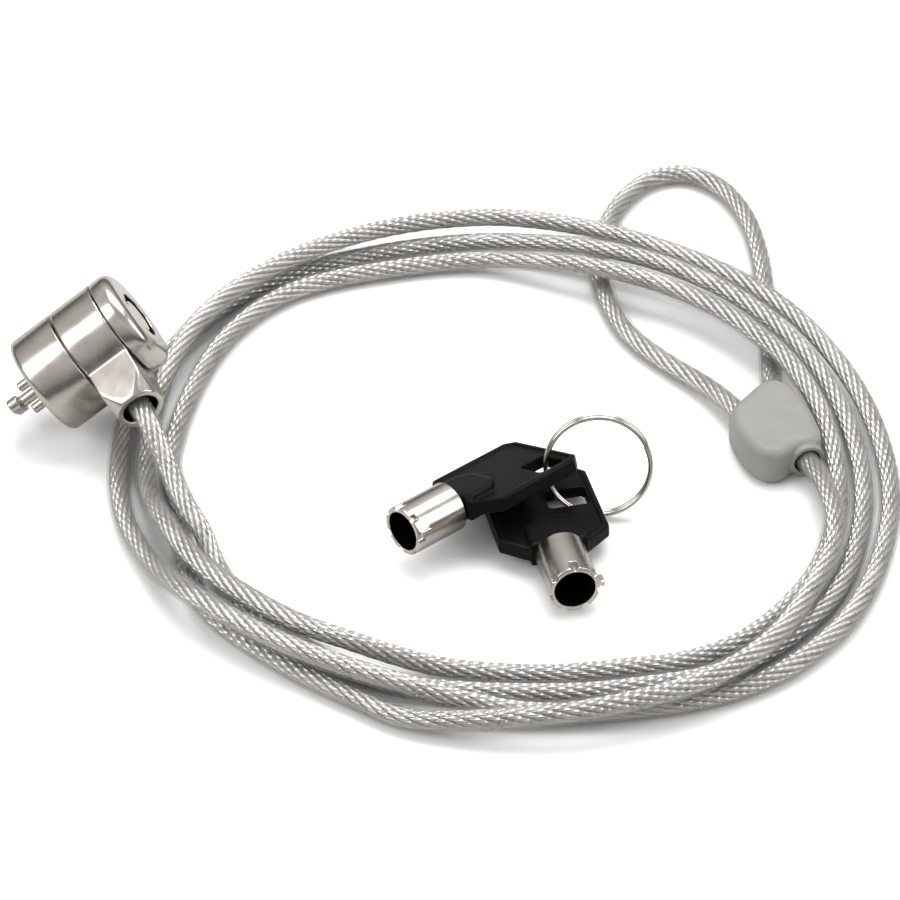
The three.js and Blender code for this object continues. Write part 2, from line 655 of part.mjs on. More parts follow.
function retainingClip() {
  const ring = tube(3.4, 1.06, CLIP_PLACE - CLIP_THICK / 2, CLIP_PLACE + CLIP_THICK / 2, 24);
  return cut(ring, box([0, -0.85, CLIP_PLACE - 1], [5, 0.85, CLIP_PLACE + 1]));
}

function tBar() {
  const HEAD_GAP = 4.6; // from the front face to the rear of the T
  const HEAD_THICK = 2.3;
  const HALF_LENGTH = 3.2;
  const HALF_WIDTH = 1.45;
  const rear = BARREL_FRONT - HEAD_GAP;
  const front = rear - HEAD_THICK;
  const stem = disc(SPINDLE_RADIUS, rear - 0.2, T_BAR_SOCKET, 20);
  const round = HALF_WIDTH;
  const bar = new THREE.Shape();
  bar.absarc(0, HALF_LENGTH - round, round, 0, Math.PI);
  bar.absarc(0, round - HALF_LENGTH, round, Math.PI, 2 * Math.PI);
  bar.closePath();
  const EDGE = 0.3;
  const crossbar = new THREE.ExtrudeGeometry(bar, {
    depth: HEAD_THICK - 2 * EDGE,
    bevelThickness: EDGE,
    bevelSize: EDGE,
    bevelOffset: -EDGE,
    bevelSegments: 1,
    curveSegments: 6,
  }).translate(0, 0, front + EDGE);
  return join(stem, crossbar.rotateZ(radians(NOSE_TURN)));
}

add(head, "pin_bushing", pinBushing(), brass);
const bushingPin = bushingPinBar(BUSHING_PIN_RADIUS, BUSHING_PIN_INNER, HOUSING_OUTER - 0.1);
add(head, "bushing_pin", bushingPin, steel);
pinPlaces.forEach(([x, y], i) => {
  const top = SHEAR_LINE - 0.14;
  const driver = disc(PIN_RADIUS, top - DRIVER_LENGTH, top, 10).translate(x, y, 0);
  add(head, `driver_pin_${i + 1}`, driver, steel);
  add(head, `pin_spring_${i + 1}`, pinSpring([x, y]), steel);
  add(head, `key_pin_${i + 1}`, keyPin([x, y], i), brass);
});
add(head, "plug", plug(), polishedNickel);
add(head, "spindle", spindle(), steel);
add(head, "retaining_clip", retainingClip(), steel);
add(head, "t_bar", tBar(), satinNickel);

// ---------------------------------------------------------------- keys and split ring
// In a key's own frame X runs from the barrel's mouth to the head, and Z is up out of the head.

const up = new THREE.Vector3(0, Math.cos(radians(RING_LEAN)), Math.sin(radians(RING_LEAN)));
const ringFrame = new THREE.Matrix4().makeBasis(
  new THREE.Vector3(1, 0, 0),
  up,
  new THREE.Vector3(1, 0, 0).cross(up),
);

function keyRing() {
  const TURNS = 2;
  const RING_POINTS = 24;
  const PITCH = 2 * RING_WIRE + 0.08;
  const rings = [];
  for (let i = 0; i <= TURNS * RING_POINTS; i++) {
    const angle = (i * 360) / RING_POINTS + 25;
    const rise = (i / RING_POINTS - TURNS / 2) * PITCH;
    const point = new THREE.Vector3(...polar(RING_RADIUS, angle, rise));
    const tangent = new THREE.Vector3(...polar(1, angle + 90, PITCH / (2 * Math.PI * RING_RADIUS)));
    rings.push({ point, tangent: tangent.normalize() });
  }
  return sweep(rings, polygon(RING_WIRE, 5));
}

const ringGroup = new THREE.Group();
ringGroup.position.set(...RING_CENTRE);
ringGroup.quaternion.setFromRotationMatrix(ringFrame);
part.add(ringGroup);
add(ringGroup, "key_ring", keyRing(), polishedNickel);

function keyBarrel() {
  const shankEnd = BARREL_LENGTH + SHANK_LENGTH;
  const shaft = revolve([
    [KEY_BORE, 0], [KEY_OUTER - 0.25, 0], [KEY_OUTER, 0.25], [KEY_OUTER, BARREL_LENGTH - 0.3],
    [SHANK_RADIUS, BARREL_LENGTH - 0.3], [SHANK_RADIUS, shankEnd], [0, shankEnd],
    [0, BARREL_LENGTH - 1.5], [KEY_BORE, BARREL_LENGTH - 1.5], [KEY_BORE, 0],
  ], 32);
  const tooth = box([KEY_OUTER - 0.5, -0.6, 0.4], [KEY_OUTER + 0.9, 0.6, 2.6]);
  const cuts = pinPlaces.map((_, i) => {
    const [x, y] = polar(KEY_OUTER, ((i + 0.5) * 360) / PIN_COUNT);
    return disc(0.7, -1, 0.4 + PIN_CODE[i], 8).translate(x, y, 0);
  });
  const toothed = join(shaft, tooth.rotateZ(Math.PI / 2));
  return cut(toothed, ...cuts).rotateY(Math.PI / 2).rotateX(Math.PI);
}

const HEAD_NECK = 5.3; // half width where the head meets the barrel

// A plate with chamfered edges, centred on the key's middle plane.
function bevelledPlate(outline, thickness) {
  const EDGE = 0.6;
  const shape = new THREE.Shape(outline.map(([x, y]) => new THREE.Vector2(x, y)));
  return new THREE.ExtrudeGeometry(shape, {
    depth: thickness - 2 * EDGE,
    bevelThickness: EDGE,
    bevelSize: EDGE,
    bevelOffset: -EDGE,
    bevelSegments: 1,
  }).translate(0, 0, EDGE - thickness / 2);
}

function headPlate() {
  const SHOULDER = 16;
  const CORNER = 1.8;
  const wide = KEY_HEAD_HALF_WIDTH;
  const end = KEY_HEAD_END;
  return bevelledPlate([
    [BARREL_LENGTH, -HEAD_NECK], [SHOULDER, -wide], [end - CORNER, -wide], [end, -wide + CORNER],
    [end, wide - CORNER], [end - CORNER, wide], [SHOULDER, wide], [BARREL_LENGTH, HEAD_NECK],
  ], KEY_HEAD_THICKNESS);
}

function headHub() {
  const HUB_END = 20.5;
  const CORNER = 2.4;
  return bevelledPlate([
    [BARREL_LENGTH, -HEAD_NECK], [HUB_END - CORNER, -HEAD_NECK], [HUB_END, -HEAD_NECK + CORNER],
    [HUB_END, HEAD_NECK - CORNER], [HUB_END - CORNER, HEAD_NECK], [BARREL_LENGTH, HEAD_NECK],
  ], KEY_HUB_THICKNESS);
}

function keyHead(ringHole) {
  const [low, high] = ringHole;
  const hole = box([...low, -KEY_HEAD_THICKNESS], [...high, KEY_HEAD_THICKNESS]);
  const boreEnd = BARREL_LENGTH + SHANK_LENGTH + 0.5;
  const bore = disc(SHANK_RADIUS + 0.15, BARREL_LENGTH - 2, boreEnd, 12).rotateY(Math.PI / 2);
  return cut(join(headPlate(), headHub()), hole, bore);
}

// A key lies with its barrel's mouth at a place, and points back to its head along a heading.
// Rise lifts the head end, and a negative roll lifts the key's right side. The ring's hole is given by
// its low and high corners in the key's frame, where the ring passes through this head.
function placeKey(name, mouth, heading, rise, roll, ringHole) {
  const key = new THREE.Group();
  key.position.set(...mouth);
  key.rotation.set(radians(roll), radians(-rise), radians(heading), "ZYX");
  part.add(key);
  add(key, `${name}_barrel`, keyBarrel(), polishedNickel);
  add(key, `${name}_head`, keyHead(ringHole), blackPlastic);
}

placeKey("key_1", [-18.1, -30.8, 9.2], 42, -3.3, -23, [[27.4, -8.3], [33.2, -2]]);
placeKey("key_2", [13.2, -43.2, 6.25], 102.8, -6.3, 0, [[24, -8.8], [29.4, -1]]);

export default part;
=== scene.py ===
import json
import math

import bpy
import numpy as np
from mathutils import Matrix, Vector


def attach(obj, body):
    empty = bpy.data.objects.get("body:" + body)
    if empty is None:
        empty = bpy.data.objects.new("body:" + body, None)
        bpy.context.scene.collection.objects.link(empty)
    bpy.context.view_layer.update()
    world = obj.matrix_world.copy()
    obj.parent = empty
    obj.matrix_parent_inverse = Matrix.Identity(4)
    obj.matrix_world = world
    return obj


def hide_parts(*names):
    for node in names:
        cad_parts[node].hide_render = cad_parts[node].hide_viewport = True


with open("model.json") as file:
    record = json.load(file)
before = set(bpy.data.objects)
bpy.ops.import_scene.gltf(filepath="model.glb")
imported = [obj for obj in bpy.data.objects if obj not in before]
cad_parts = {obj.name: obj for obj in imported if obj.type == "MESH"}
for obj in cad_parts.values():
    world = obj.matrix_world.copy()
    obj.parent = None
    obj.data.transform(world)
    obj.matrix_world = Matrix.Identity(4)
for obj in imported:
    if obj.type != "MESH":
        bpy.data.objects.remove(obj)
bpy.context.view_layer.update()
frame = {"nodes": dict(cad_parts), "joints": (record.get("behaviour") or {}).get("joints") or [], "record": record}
record = frame["record"]
joints = {j["name"]: j for j in frame["joints"]}
mounts = {m["name"]: m for m in record["mounts"]}
MM = 0.001


# ------------------------------------------------------------------ places taken from the CAD
def unit(v):
    v = np.asarray(v, float)
    return v / np.linalg.norm(v)


def basis(origin, x, z):
    """A 4 x 4 matrix with the given origin, Z axis, and X axis made square to Z."""
    z = unit(z)
    x = unit(np.asarray(x, float) - z * np.dot(x, z))
    m = np.eye(4)
    m[:3, 0], m[:3, 1], m[:3, 2], m[:3, 3] = x, np.cross(z, x), z, origin
    return m


def cad_points(node):
    """A CAD node's corners, each once."""
    co = np.array([v.co for v in frame["nodes"][node].data.vertices], float)
    return np.unique(np.round(co, 8), axis=0)


def ring_centres(node, sides, near):
    """Centre line of a swept CAD node: middles of its rings, from the end nearest to a point."""
    mesh = frame["nodes"][node].data
    co = np.array([v.co for v in mesh.vertices], float)
    points, where = np.unique(np.round(co, 8), axis=0, return_inverse=True)
    where = where.ravel()
    links = [set() for _ in points]
    for edge in mesh.edges:
        a, b = where[edge.vertices[0]], where[edge.vertices[1]]
        if a != b:
            links[a].add(b)
            links[b].add(a)
    distance = np.linalg.norm(points - np.asarray(near), axis=1)
    layer = set(np.argsort(distance)[:sides].tolist())
    seen = set(layer)
    centres = []
    while layer:
        centres.append(points[sorted(layer)].mean(0))
        layer = {n for v in layer for n in links[v]} - seen
        seen |= layer
    return np.array(centres)


head_centre = np.array(joints["head_swivel"]["pos_m"])
head_axis = np.array(joints["head_swivel"]["axis"])
lug_axis = np.array(joints["lug_swivel"]["axis"])
HEAD = basis(head_centre, lug_axis, head_axis)


def cover_frame():
    """Origin under the cover's middle, Y along the rope through it, Z up.

    The ferrule's largest upright face on its +Y side is its end, which looks along the rope.
    """
    mesh = frame["nodes"]["crimp_sleeve"].data
    sums = {}
    for face in mesh.polygons:
        n = face.normal
        if abs(n.z) < 0.01 and n.y > 0.3:
            key = (round(n.x, 2), round(n.y, 2))
            area, total = sums.get(key, (0.0, np.zeros(3)))
            sums[key] = (area + face.area, total + np.array(n) * face.area)
    along = max(sums.values(), key=lambda item: item[0])[1]
    side = np.cross(unit(along), (0, 0, 1))
    origin = np.array(mounts["cover_base"]["pos_m"])
    return basis((origin[0], origin[1], 0), side, (0, 0, 1))


COVER = cover_frame()


def key_frame(key):
    """Origin at the middle of the barrel's mouth, X towards the head, Z out of the head's face.

    X runs from the tube's closed end to the shank's tip. Both are the middles of their corners.
    """
    z = unit(joints[f"{key}_swing"]["axis"])
    barrel = cad_points(f"{key}_barrel")
    ahead = cad_points(f"{key}_head").mean(0) - barrel.mean(0)
    x = unit(ahead - z * np.dot(ahead, z))
    along = barrel @ x
    tail = barrel[along > along.max() - 0.8 * MM].mean(0)
    reach = np.linalg.norm(barrel - tail, axis=1) / MM
    neck = barrel[(reach > 5) & (reach < 8.5)].mean(0)
    x = unit(tail - neck)
    along = (barrel - tail) @ x
    return basis(tail + x * along.min(), x, z)


def ring_frame():
    """Middle of the split ring, with Z along its axis."""
    points = cad_points("key_ring")
    middle = points.mean(0)
    _, _, axes = np.linalg.svd(points - middle)
    u, v, axis = axes
    flat = np.c_[(points - middle) @ u, (points - middle) @ v]
    fit = np.linalg.lstsq(np.c_[2 * flat, np.ones(len(flat))], (flat**2).sum(1), rcond=None)[0]
    centre = middle + u * fit[0] + v * fit[1]
    radius = math.sqrt(fit[2] + fit[0] ** 2 + fit[1] ** 2)
    return basis(centre, (1, 0, 0), axis if axis[2] > 0 else -axis), radius


# ------------------------------------------------------------------ mesh code
def placed(points, matrix):
    """Points in a local frame's millimetres, as metres in the part's frame."""
    points = np.asarray(points, float) * MM
    return points @ matrix[:3, :3].T + matrix[:3, 3]


def new_object(name, verts, faces, sharp=35):
    """A smooth-shaded object. Edges that turn by more than sharp degrees stay crisp."""
    mesh = bpy.data.meshes.new(name)
    mesh.from_pydata([tuple(v) for v in verts], [], faces)
    mesh.update()
    mesh.polygons.foreach_set("use_smooth", [True] * len(mesh.polygons))
    if sharp:
        mesh.set_sharp_from_angle(angle=math.radians(sharp))
    obj = bpy.data.objects.new(name, mesh)
    bpy.context.scene.collection.objects.link(obj)
    return obj


def merged(verts, faces):
    """Joins corners that coincide, and drops faces that close up."""
    points, where = np.unique(np.round(verts, 6), axis=0, return_inverse=True)
    where = where.ravel()
    kept = []
    for face in faces:
        ids = [int(where[i]) for i in face]
        ids = [a for a, b in zip(ids, ids[1:] + ids[:1]) if a != b]
        if len(set(ids)) > 2:
            kept.append(ids)
    return points, kept


def arcs(corners, steps=5):
    """Rounds the corners of a closed outline. Each corner is x, y, radius."""
    out = []
    count = len(corners)
    for i, (x, y, radius) in enumerate(corners):
        p = np.array((x, y), float)
        if radius <= 0:
            out.append(p)
            continue
        a = unit(np.array(corners[i - 1][:2], float) - p)
        b = unit(np.array(corners[(i + 1) % count][:2], float) - p)
        half = math.acos(max(-1, min(1, float(a @ b)))) / 2
        middle = p + unit(a + b) * (radius / math.sin(half))
        start = p + a * (radius / math.tan(half)) - middle
        end = p + b * (radius / math.tan(half)) - middle
        a0, a1 = math.atan2(start[1], start[0]), math.atan2(end[1], end[0])
        turn = (a1 - a0 + math.pi) % (2 * math.pi) - math.pi
        for k in range(steps + 1):
            angle = a0 + turn * k / steps
            out.append(middle + radius * np.array((math.cos(angle), math.sin(angle))))
    return np.array(out)


def lathe(profile, segments=96):
    """A ring-shaped or solid body of revolution about Z from a closed profile of radius, z."""
    profile = np.asarray(profile, float)
    turn = 2 * np.pi * np.arange(segments) / segments
    r, z = profile[:, 0], profile[:, 1]
    verts = np.stack(
        [np.outer(np.cos(turn), r), np.outer(np.sin(turn), r), np.tile(z, (segments, 1))], -1
    ).reshape(-1, 3)
    n = len(profile)
    faces = []
    for i in range(segments):
        j = (i + 1) % segments
        for k in range(n):
            m = (k + 1) % n
            if r[k] < 1e-9 and r[m] < 1e-9:
                continue
            faces.append((i * n + k, j * n + k, j * n + m, i * n + m))
    return merged(verts, faces)


def soft_min(a, b, k):
    """The smaller of two distances, blended over a width k."""
    h = np.clip(0.5 + 0.5 * (b - a) / k, 0, 1)
    return b * (1 - h) + a * h - k * h * (1 - h)


def soft_max(a, b, k):
    return -soft_min(-a, -b, k)


def skin(field, low, high, step):
    """The zero surface of a field of x, y, z in a box: surface nets, then pulled onto it."""
    nudge, least_slope, pulls = 0.02, 0.2, 3
    low = np.asarray(low, float)
    count = np.ceil((np.asarray(high, float) - low) / step).astype(int) + 1
    axes = [low[i] + step * np.arange(count[i]) for i in range(3)]
    values = field(*np.meshgrid(*axes, indexing="ij", sparse=False))
    inside = values < 0
    cells = tuple(count - 1)

    def corner(array, d):
        return array[d[0] : d[0] + cells[0], d[1] : d[1] + cells[1], d[2] : d[2] + cells[2]]

    total = sum(corner(inside, d).astype(int) for d in np.ndindex(2, 2, 2))
    mixed = (total > 0) & (total < 8)
    cell = np.argwhere(mixed)
    number = -np.ones(cells, int)
    number[mixed] = np.arange(len(cell))
    sums = np.zeros((len(cell), 3))
    hits = np.zeros(len(cell))
    for d in np.ndindex(2, 2, 2):
        for axis in range(3):
            if d[axis]:
                continue
            e = list(d)
            e[axis] = 1
            a, b = corner(values, d)[mixed], corner(values, e)[mixed]
            cross = (a < 0) != (b < 0)
            t = np.where(cross, a / np.where(cross, a - b, 1), 0)
            spot = np.tile(np.array(d, float), (len(cell), 1))
            spot[:, axis] = t
            sums += spot * cross[:, None]
            hits += cross
    verts = low + step * (cell + sums / hits[:, None])
    for _ in range(pulls):
        f = field(*verts.T)
        grad = np.zeros_like(verts)
        for axis in range(3):
            shift = np.zeros(3)
            shift[axis] = nudge
            rise = field(*(verts + shift).T) - field(*(verts - shift).T)
            grad[:, axis] = rise / (2 * nudge)
        size = np.maximum((grad**2).sum(1), least_slope)
        move = -f[:, None] * grad / size[:, None]
        verts += np.clip(move, -0.5 * step, 0.5 * step)
    faces = []
    for axis in range(3):
        u, v = (axis + 1) % 3, (axis + 2) % 3
        span = [slice(0, c) for c in count]
        nxt = list(span)
        span[axis], nxt[axis] = slice(0, count[axis] - 1), slice(1, count[axis])
        a, b = inside[tuple(span)], inside[tuple(nxt)]
        edge = np.argwhere(a != b)
        edge = edge[(edge[:, u] > 0) & (edge[:, v] > 0)]
        edge = edge[(edge[:, u] < cells[u]) & (edge[:, v] < cells[v])]
        out = a[tuple(edge.T)]
        quad = []
        for du, dv in ((-1, -1), (0, -1), (0, 0), (-1, 0)):
            at = edge.copy()
            at[:, u] += du
            at[:, v] += dv
            quad.append(number[tuple(at.T)])
        quad = np.array(quad).T
        quad[~out] = quad[~out][:, ::-1]
        faces += quad.tolist()
    return verts, faces


def transported(points):
    """Tangent, normal and binormal at each point of a path, without twist."""
    tangent = np.gradient(points, axis=0)
    tangent /= np.linalg.norm(tangent, axis=1)[:, None]
    normal = np.zeros_like(points)
    anywhere_else = (0.3, 0.2, 0.9)
    normal[0] = unit(np.cross(tangent[0], anywhere_else))
    for i in range(1, len(points)):
        v = normal[i - 1] - tangent[i] * np.dot(normal[i - 1], tangent[i])
        normal[i] = v / np.linalg.norm(v)
    return tangent, normal, np.cross(tangent, normal)


def swept(points, section, twist=None):
    """A closed solid along a path. The section is x, y in millimetres; twist is radians a point."""
    _, normal, across = transported(points)
    section = np.asarray(section, float) * MM
    twist = np.zeros(len(points)) if twist is None else twist
    c, s = np.cos(twist)[:, None], np.sin(twist)[:, None]
    x = section[:, 0] * c - section[:, 1] * s
    y = section[:, 0] * s + section[:, 1] * c
    verts = points[:, None] + x[..., None] * normal[:, None] + y[..., None] * across[:, None]
    rings, sides = verts.shape[:2]
    start = np.arange(rings - 1)[:, None] * sides
    k = np.arange(sides)[None]
    m = (k + 1) % sides
    quads = np.stack([start + k, start + m, start + sides + m, start + sides + k], -1)
    faces = quads.reshape(-1, 4).tolist()
    faces.append(list(range(sides))[::-1])
    faces.append([(rings - 1) * sides + i for i in range(sides)])
    return verts.reshape(-1, 3), faces


def spaced(points, step):
    """A smooth curve through the points, with even steps (metres)."""
    knots = np.r_[0, np.cumsum(np.linalg.norm(np.diff(points, axis=0), axis=1))]
    slope = np.gradient(points, knots, axis=0)
    fine = np.linspace(0, knots[-1], int(knots[-1] / step) * 2)
    i = np.clip(np.searchsorted(knots, fine, side="right") - 1, 0, len(points) - 2)
    h = (knots[i + 1] - knots[i])[:, None]
    t = ((fine - knots[i]) / h[:, 0])[:, None]
    curve = (
        (2 * t**3 - 3 * t**2 + 1) * points[i]
        + (t**3 - 2 * t**2 + t) * h * slope[i]
        + (3 * t**2 - 2 * t**3) * points[i + 1]
        + (t**3 - t**2) * h * slope[i + 1]
    )
    run = np.r_[0, np.cumsum(np.linalg.norm(np.diff(curve, axis=0), axis=1))]
    even = np.linspace(0, run[-1], int(round(run[-1] / step)) + 1)
    return np.stack([np.interp(even, run, curve[:, a]) for a in range(3)], 1), run[-1]


# ------------------------------------------------------------------ materials
class Look:
    """A small helper that strings shader nodes together."""

    def __init__(self, name):
        self.material = bpy.data.materials.new(name)
        self.material.use_nodes = True
        self.tree = self.material.node_tree
        self.tree.nodes.clear()
        self.out = self.node("ShaderNodeOutputMaterial")
        self.coords = self.node("ShaderNodeTexCoord").outputs["Object"]

    def node(self, kind, **values):
        n = self.tree.nodes.new(kind)
        for key, value in values.items():
            if hasattr(n, key):
                setattr(n, key, value)
            else:
                n.inputs[key.replace("_", " ")].default_value = value
        return n

    def link(self, a, b):
        self.tree.links.new(a, b)

    def noise(self, scale, detail=3.0, rough=0.55):
        n = self.node("ShaderNodeTexNoise")
        n.inputs["Scale"].default_value = scale
        n.inputs["Detail"].default_value = detail
        n.inputs["Roughness"].default_value = rough
        self.link(self.coords, n.inputs["Vector"])
        return n.outputs["Fac"]

    def spread(self, value, low, high, from_low=0.3, from_high=0.7):
        n = self.node("ShaderNodeMapRange")
        ends = {"From Min": from_low, "From Max": from_high, "To Min": low, "To Max": high}
        for key, v in ends.items():
            n.inputs[key].default_value = v
        self.link(value, n.inputs["Value"])
        return n.outputs["Result"]

    def tint(self, value, a, b):
        n = self.node("ShaderNodeMix", data_type="RGBA")
        n.inputs["A"].default_value = (*a, 1)
        n.inputs["B"].default_value = (*b, 1)
        self.link(value, n.inputs["Factor"])
        return n.outputs["Result"]

    def bump(self, height, strength, distance):
        n = self.node("ShaderNodeBump")
        n.inputs["Strength"].default_value = strength
        n.inputs["Distance"].default_value = distance
        self.link(height, n.inputs["Height"])
        return n.outputs["Normal"]

    def surface(self, color, rough, metallic, normal=None, **extra):
        n = self.node("ShaderNodeBsdfPrincipled")
        n.inputs["Metallic"].default_value = metallic
        self.link(color, n.inputs["Base Color"])
        self.link(rough, n.inputs["Roughness"])
        if normal is not None:
            self.link(normal, n.inputs["Normal"])
        for key, value in extra.items():
            n.inputs[key.replace("_", " ")].default_value = value
        return n

    def done(self, shader):
        self.link(shader, self.out.inputs["Surface"])
        return self.material


# The scales of the noise that mottles a surface, in cells per metre.
METAL_CLOUD, PLASTIC_CLOUD = 260, 180
GRAIN_DEPTH = 0.02 * MM


def metal(name, dark, pale, rough, grain=0.0, grain_scale=9000, bump=0.06):
    """Bare metal. rough is its roughness in the smoothest and in the dullest places."""
    look = Look(name)
    cloud = look.noise(METAL_CLOUD, 4)
    fine = look.noise(grain_scale, 2)
    color = look.tint(look.spread(cloud, 0, 1), dark, pale)
    roughness = look.spread(cloud, *rough)
    if grain:
        add = look.node("ShaderNodeMath", operation="ADD")
        look.link(roughness, add.inputs[0])
        look.link(look.spread(fine, -grain, grain), add.inputs[1])
        roughness = add.outputs[0]
    normal = look.bump(fine, bump, GRAIN_DEPTH)
    return look.done(look.surface(color, roughness, 1.0, normal).outputs[0])


def plastic(name, dark, pale, rough, grain_scale, bump, depth, shine=0.5):
    """Moulded plastic with a fine grain."""
    look = Look(name)
    cloud = look.noise(PLASTIC_CLOUD, 4)
    fine = look.noise(grain_scale, 3)
    color = look.tint(look.spread(cloud, 0, 1), dark, pale)
    roughness = look.spread(fine, *rough)
    normal = look.bump(fine, bump, depth)
    shader = look.surface(color, roughness, 0.0, normal, Specular_IOR_Level=shine)
    return look.done(shader.outputs[0])


def clear_jacket():
    """Clear PVC: nearly see-through face on, with more of its own pale skin towards the edges."""
    dark, pale = (0.46, 0.45, 0.44), (0.58, 0.57, 0.56)
    passed_light = (0.975, 0.975, 0.97, 1)
    share_face_on, share_at_edge = 0.07, 0.30
    look = Look("clear_jacket")
    color = look.tint(look.spread(look.noise(90, 3), 0, 1), dark, pale)
    roughness = look.spread(look.noise(1400, 2), 0.10, 0.22)
    normal = look.bump(look.noise(420, 3), 0.12, 0.15 * MM)
    pale_skin = look.surface(color, roughness, 0.0, normal, IOR=1.48)
    edge = look.node("ShaderNodeLayerWeight")
    edge.inputs["Blend"].default_value = 0.22
    share = look.spread(edge.outputs["Facing"], share_face_on, share_at_edge, 0.0, 1.0)
    clear = look.node("ShaderNodeBsdfTransparent")
    clear.inputs["Color"].default_value = passed_light
    mix = look.node("ShaderNodeMixShader")
    look.link(share, mix.inputs[0])
    look.link(clear.outputs[0], mix.inputs[1])
    look.link(pale_skin.outputs[0], mix.inputs[2])
    return look.done(mix.outputs[0])


LOOKS = {
    "galvanised_rope": metal(
        "galvanised_rope", (0.50, 0.49, 0.48), (0.68, 0.67, 0.655), (0.26, 0.38),
        grain=0.05, grain_scale=6000,
    ),
    "clear_jacket": clear_jacket(),
    "plain_steel": metal(
        "plain_steel", (0.50, 0.50, 0.50), (0.60, 0.60, 0.59), (0.28, 0.40), grain=0.06
    ),
    "spring_steel": metal(
        "spring_steel", (0.48, 0.48, 0.50), (0.56, 0.56, 0.58), (0.22, 0.32), grain=0.04
    ),
    "cover_plastic": plastic(
        "cover_plastic", (0.225, 0.219, 0.206), (0.255, 0.248, 0.234), (0.46, 0.56),
        grain_scale=5200, bump=0.10, depth=0.04 * MM,
    ),
    "satin_nickel": metal(
        "satin_nickel", (0.53, 0.50, 0.465), (0.60, 0.57, 0.53), (0.20, 0.27),
        grain=0.05, grain_scale=7000, bump=0.10,
    ),
    "polished_nickel": metal(
        "polished_nickel", (0.56, 0.535, 0.50), (0.63, 0.60, 0.565), (0.18, 0.24),
        grain=0.03, grain_scale=5000, bump=0.03,
    ),
    "brass_works": metal(
        "brass_works", (0.68, 0.50, 0.22), (0.76, 0.58, 0.30), (0.26, 0.38), grain=0.05
    ),
    "black_plastic": plastic(
        "black_plastic", (0.003, 0.003, 0.003), (0.006, 0.006, 0.006), (0.30, 0.42),
        grain_scale=3800, bump=0.12, depth=0.05 * MM, shine=0.08,
    ),
}
# Painted shade: a near-black metal for the insides of bores and recesses, where shade falls.
PAINTED_BORE_SHADE = metal("painted_bore_shade", (0.012, 0.011, 0.010), (0.025, 0.023, 0.020), (0.50, 0.60))
SLOT_OF = {s["node"]: s["material_slot"] for s in record["subparts"]}


def finish_piece(obj, body, nodes, slot):
    """Gives a piece its look, its body, and the CAD nodes that it stands in for."""
    obj.data.materials.append(LOOKS[slot])
    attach(obj, body)
    if nodes:
        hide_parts(*nodes)
    return obj


def local_piece(name, mesh, matrix, body, nodes, slot, sharp=35):
    """A piece whose mesh is in the millimetres of a local frame."""
    verts, faces = mesh
    obj = new_object(name, placed(verts, matrix), faces, sharp)
    return finish_piece(obj, body, nodes, slot)


def paint_bore_shade(obj, matrix, chosen):
    """Paints shade: gives the near-black painted shade of a bore to the faces whose middles, in the given frame,
    are chosen.
    """
    polygons = obj.data.polygons
    middles = np.zeros(len(polygons) * 3)
    polygons.foreach_get("center", middles)
    local = (middles.reshape(-1, 3) - matrix[:3, 3]) @ matrix[:3, :3] / MM
    obj.data.materials.append(PAINTED_BORE_SHADE)
    polygons.foreach_set("material_index", chosen(*local.T).astype(np.int32))


# ------------------------------------------------------------------ wire rope and its jacket
STRANDS = 8
STRAND_LAY = 27 * MM
STRAND_CIRCLE = 1.29 * MM
WIRES = 6
WIRE_RADIUS = 0.17
WIRE_LAY = 9.5 * MM
CORE_RADIUS = 0.8
SWAY_ANGLE, SWAY_POINTS = 0.06, 160
ROPE_STEP = 0.37 * MM
CAD_ROPE_SIDES = 6
ROPE_END = 8.9 * MM
JACKET_OUTER, JACKET_INNER, JACKET_SIDES = 2.25, 1.86, 18
JACKET_LIP = 0.15

centres = ring_centres("wire_rope", CAD_ROPE_SIDES, head_centre + lug_axis * ROPE_END)
path, rope_length = spaced(centres, ROPE_STEP)


def round_section(radius, sides):
    turn = 2 * np.pi * np.arange(sides) / sides
    return np.c_[radius * np.cos(turn), radius * np.sin(turn)]


def strand_section():
    """Six wires round a seventh: a lobed outline."""
    out = []
    for lobe in range(WIRES):
        for off in (-30, -10, 10):
            a = math.radians(off)
            rise = math.sqrt(max(WIRE_RADIUS**2 - (2 * WIRE_RADIUS * math.sin(a)) ** 2, 0))
            r = 2 * WIRE_RADIUS * math.cos(a) + rise
            angle = math.radians(lobe * 360 / WIRES) + a
            out.append((r * math.cos(angle), r * math.sin(angle)))
    return out


def build_rope():
    """Strands laid round a core, with a little unevenness in their lay."""
    _, normal, across = transported(path)
    run = np.arange(len(path)) * (rope_length / (len(path) - 1))
    rng = np.random.default_rng(7)
    draws = rng.normal(0, SWAY_ANGLE, SWAY_POINTS)
    sway = np.interp(run, np.linspace(0, rope_length, SWAY_POINTS), draws)
    for i in range(STRANDS):
        angle = 2 * np.pi * (run / STRAND_LAY + i / STRANDS) + sway
        offset = np.cos(angle)[:, None] * normal + np.sin(angle)[:, None] * across
        twist = -2 * np.pi * run / WIRE_LAY + i
        strand = swept(path + STRAND_CIRCLE * offset, strand_section(), twist)
        obj = new_object(f"rope_strand_{i + 1}", *strand, sharp=0)
        finish_piece(obj, "cable", ["wire_rope"] if i == 0 else [], "galvanised_rope")
    core = new_object("rope_core", *swept(path[::3], round_section(CORE_RADIUS, 8)), sharp=0)
    finish_piece(core, "cable", [], "galvanised_rope")


def jacket_span(node):
    """First and last place along the path that has a ring of a CAD jacket's corners round it."""
    inner, outer, near, enough = 1.9 * MM, 2.4 * MM, 0.5 * MM, 12
    jacket = cad_points(node)
    step = np.gradient(centres, axis=0)
    step /= np.linalg.norm(step, axis=1)[:, None]
    held = []
    for i, (c, t) in enumerate(zip(centres, step)):
        off = jacket - c
        distance = np.linalg.norm(off, axis=1)
        ring = (distance > inner) & (distance < outer) & (np.abs(off @ t) < near)
        if ring.sum() >= enough:
            held.append(i)
    ends = [centres[held[0]], centres[held[-1]]]
    return [int(np.argmin(np.linalg.norm(path - e, axis=1))) for e in ends]


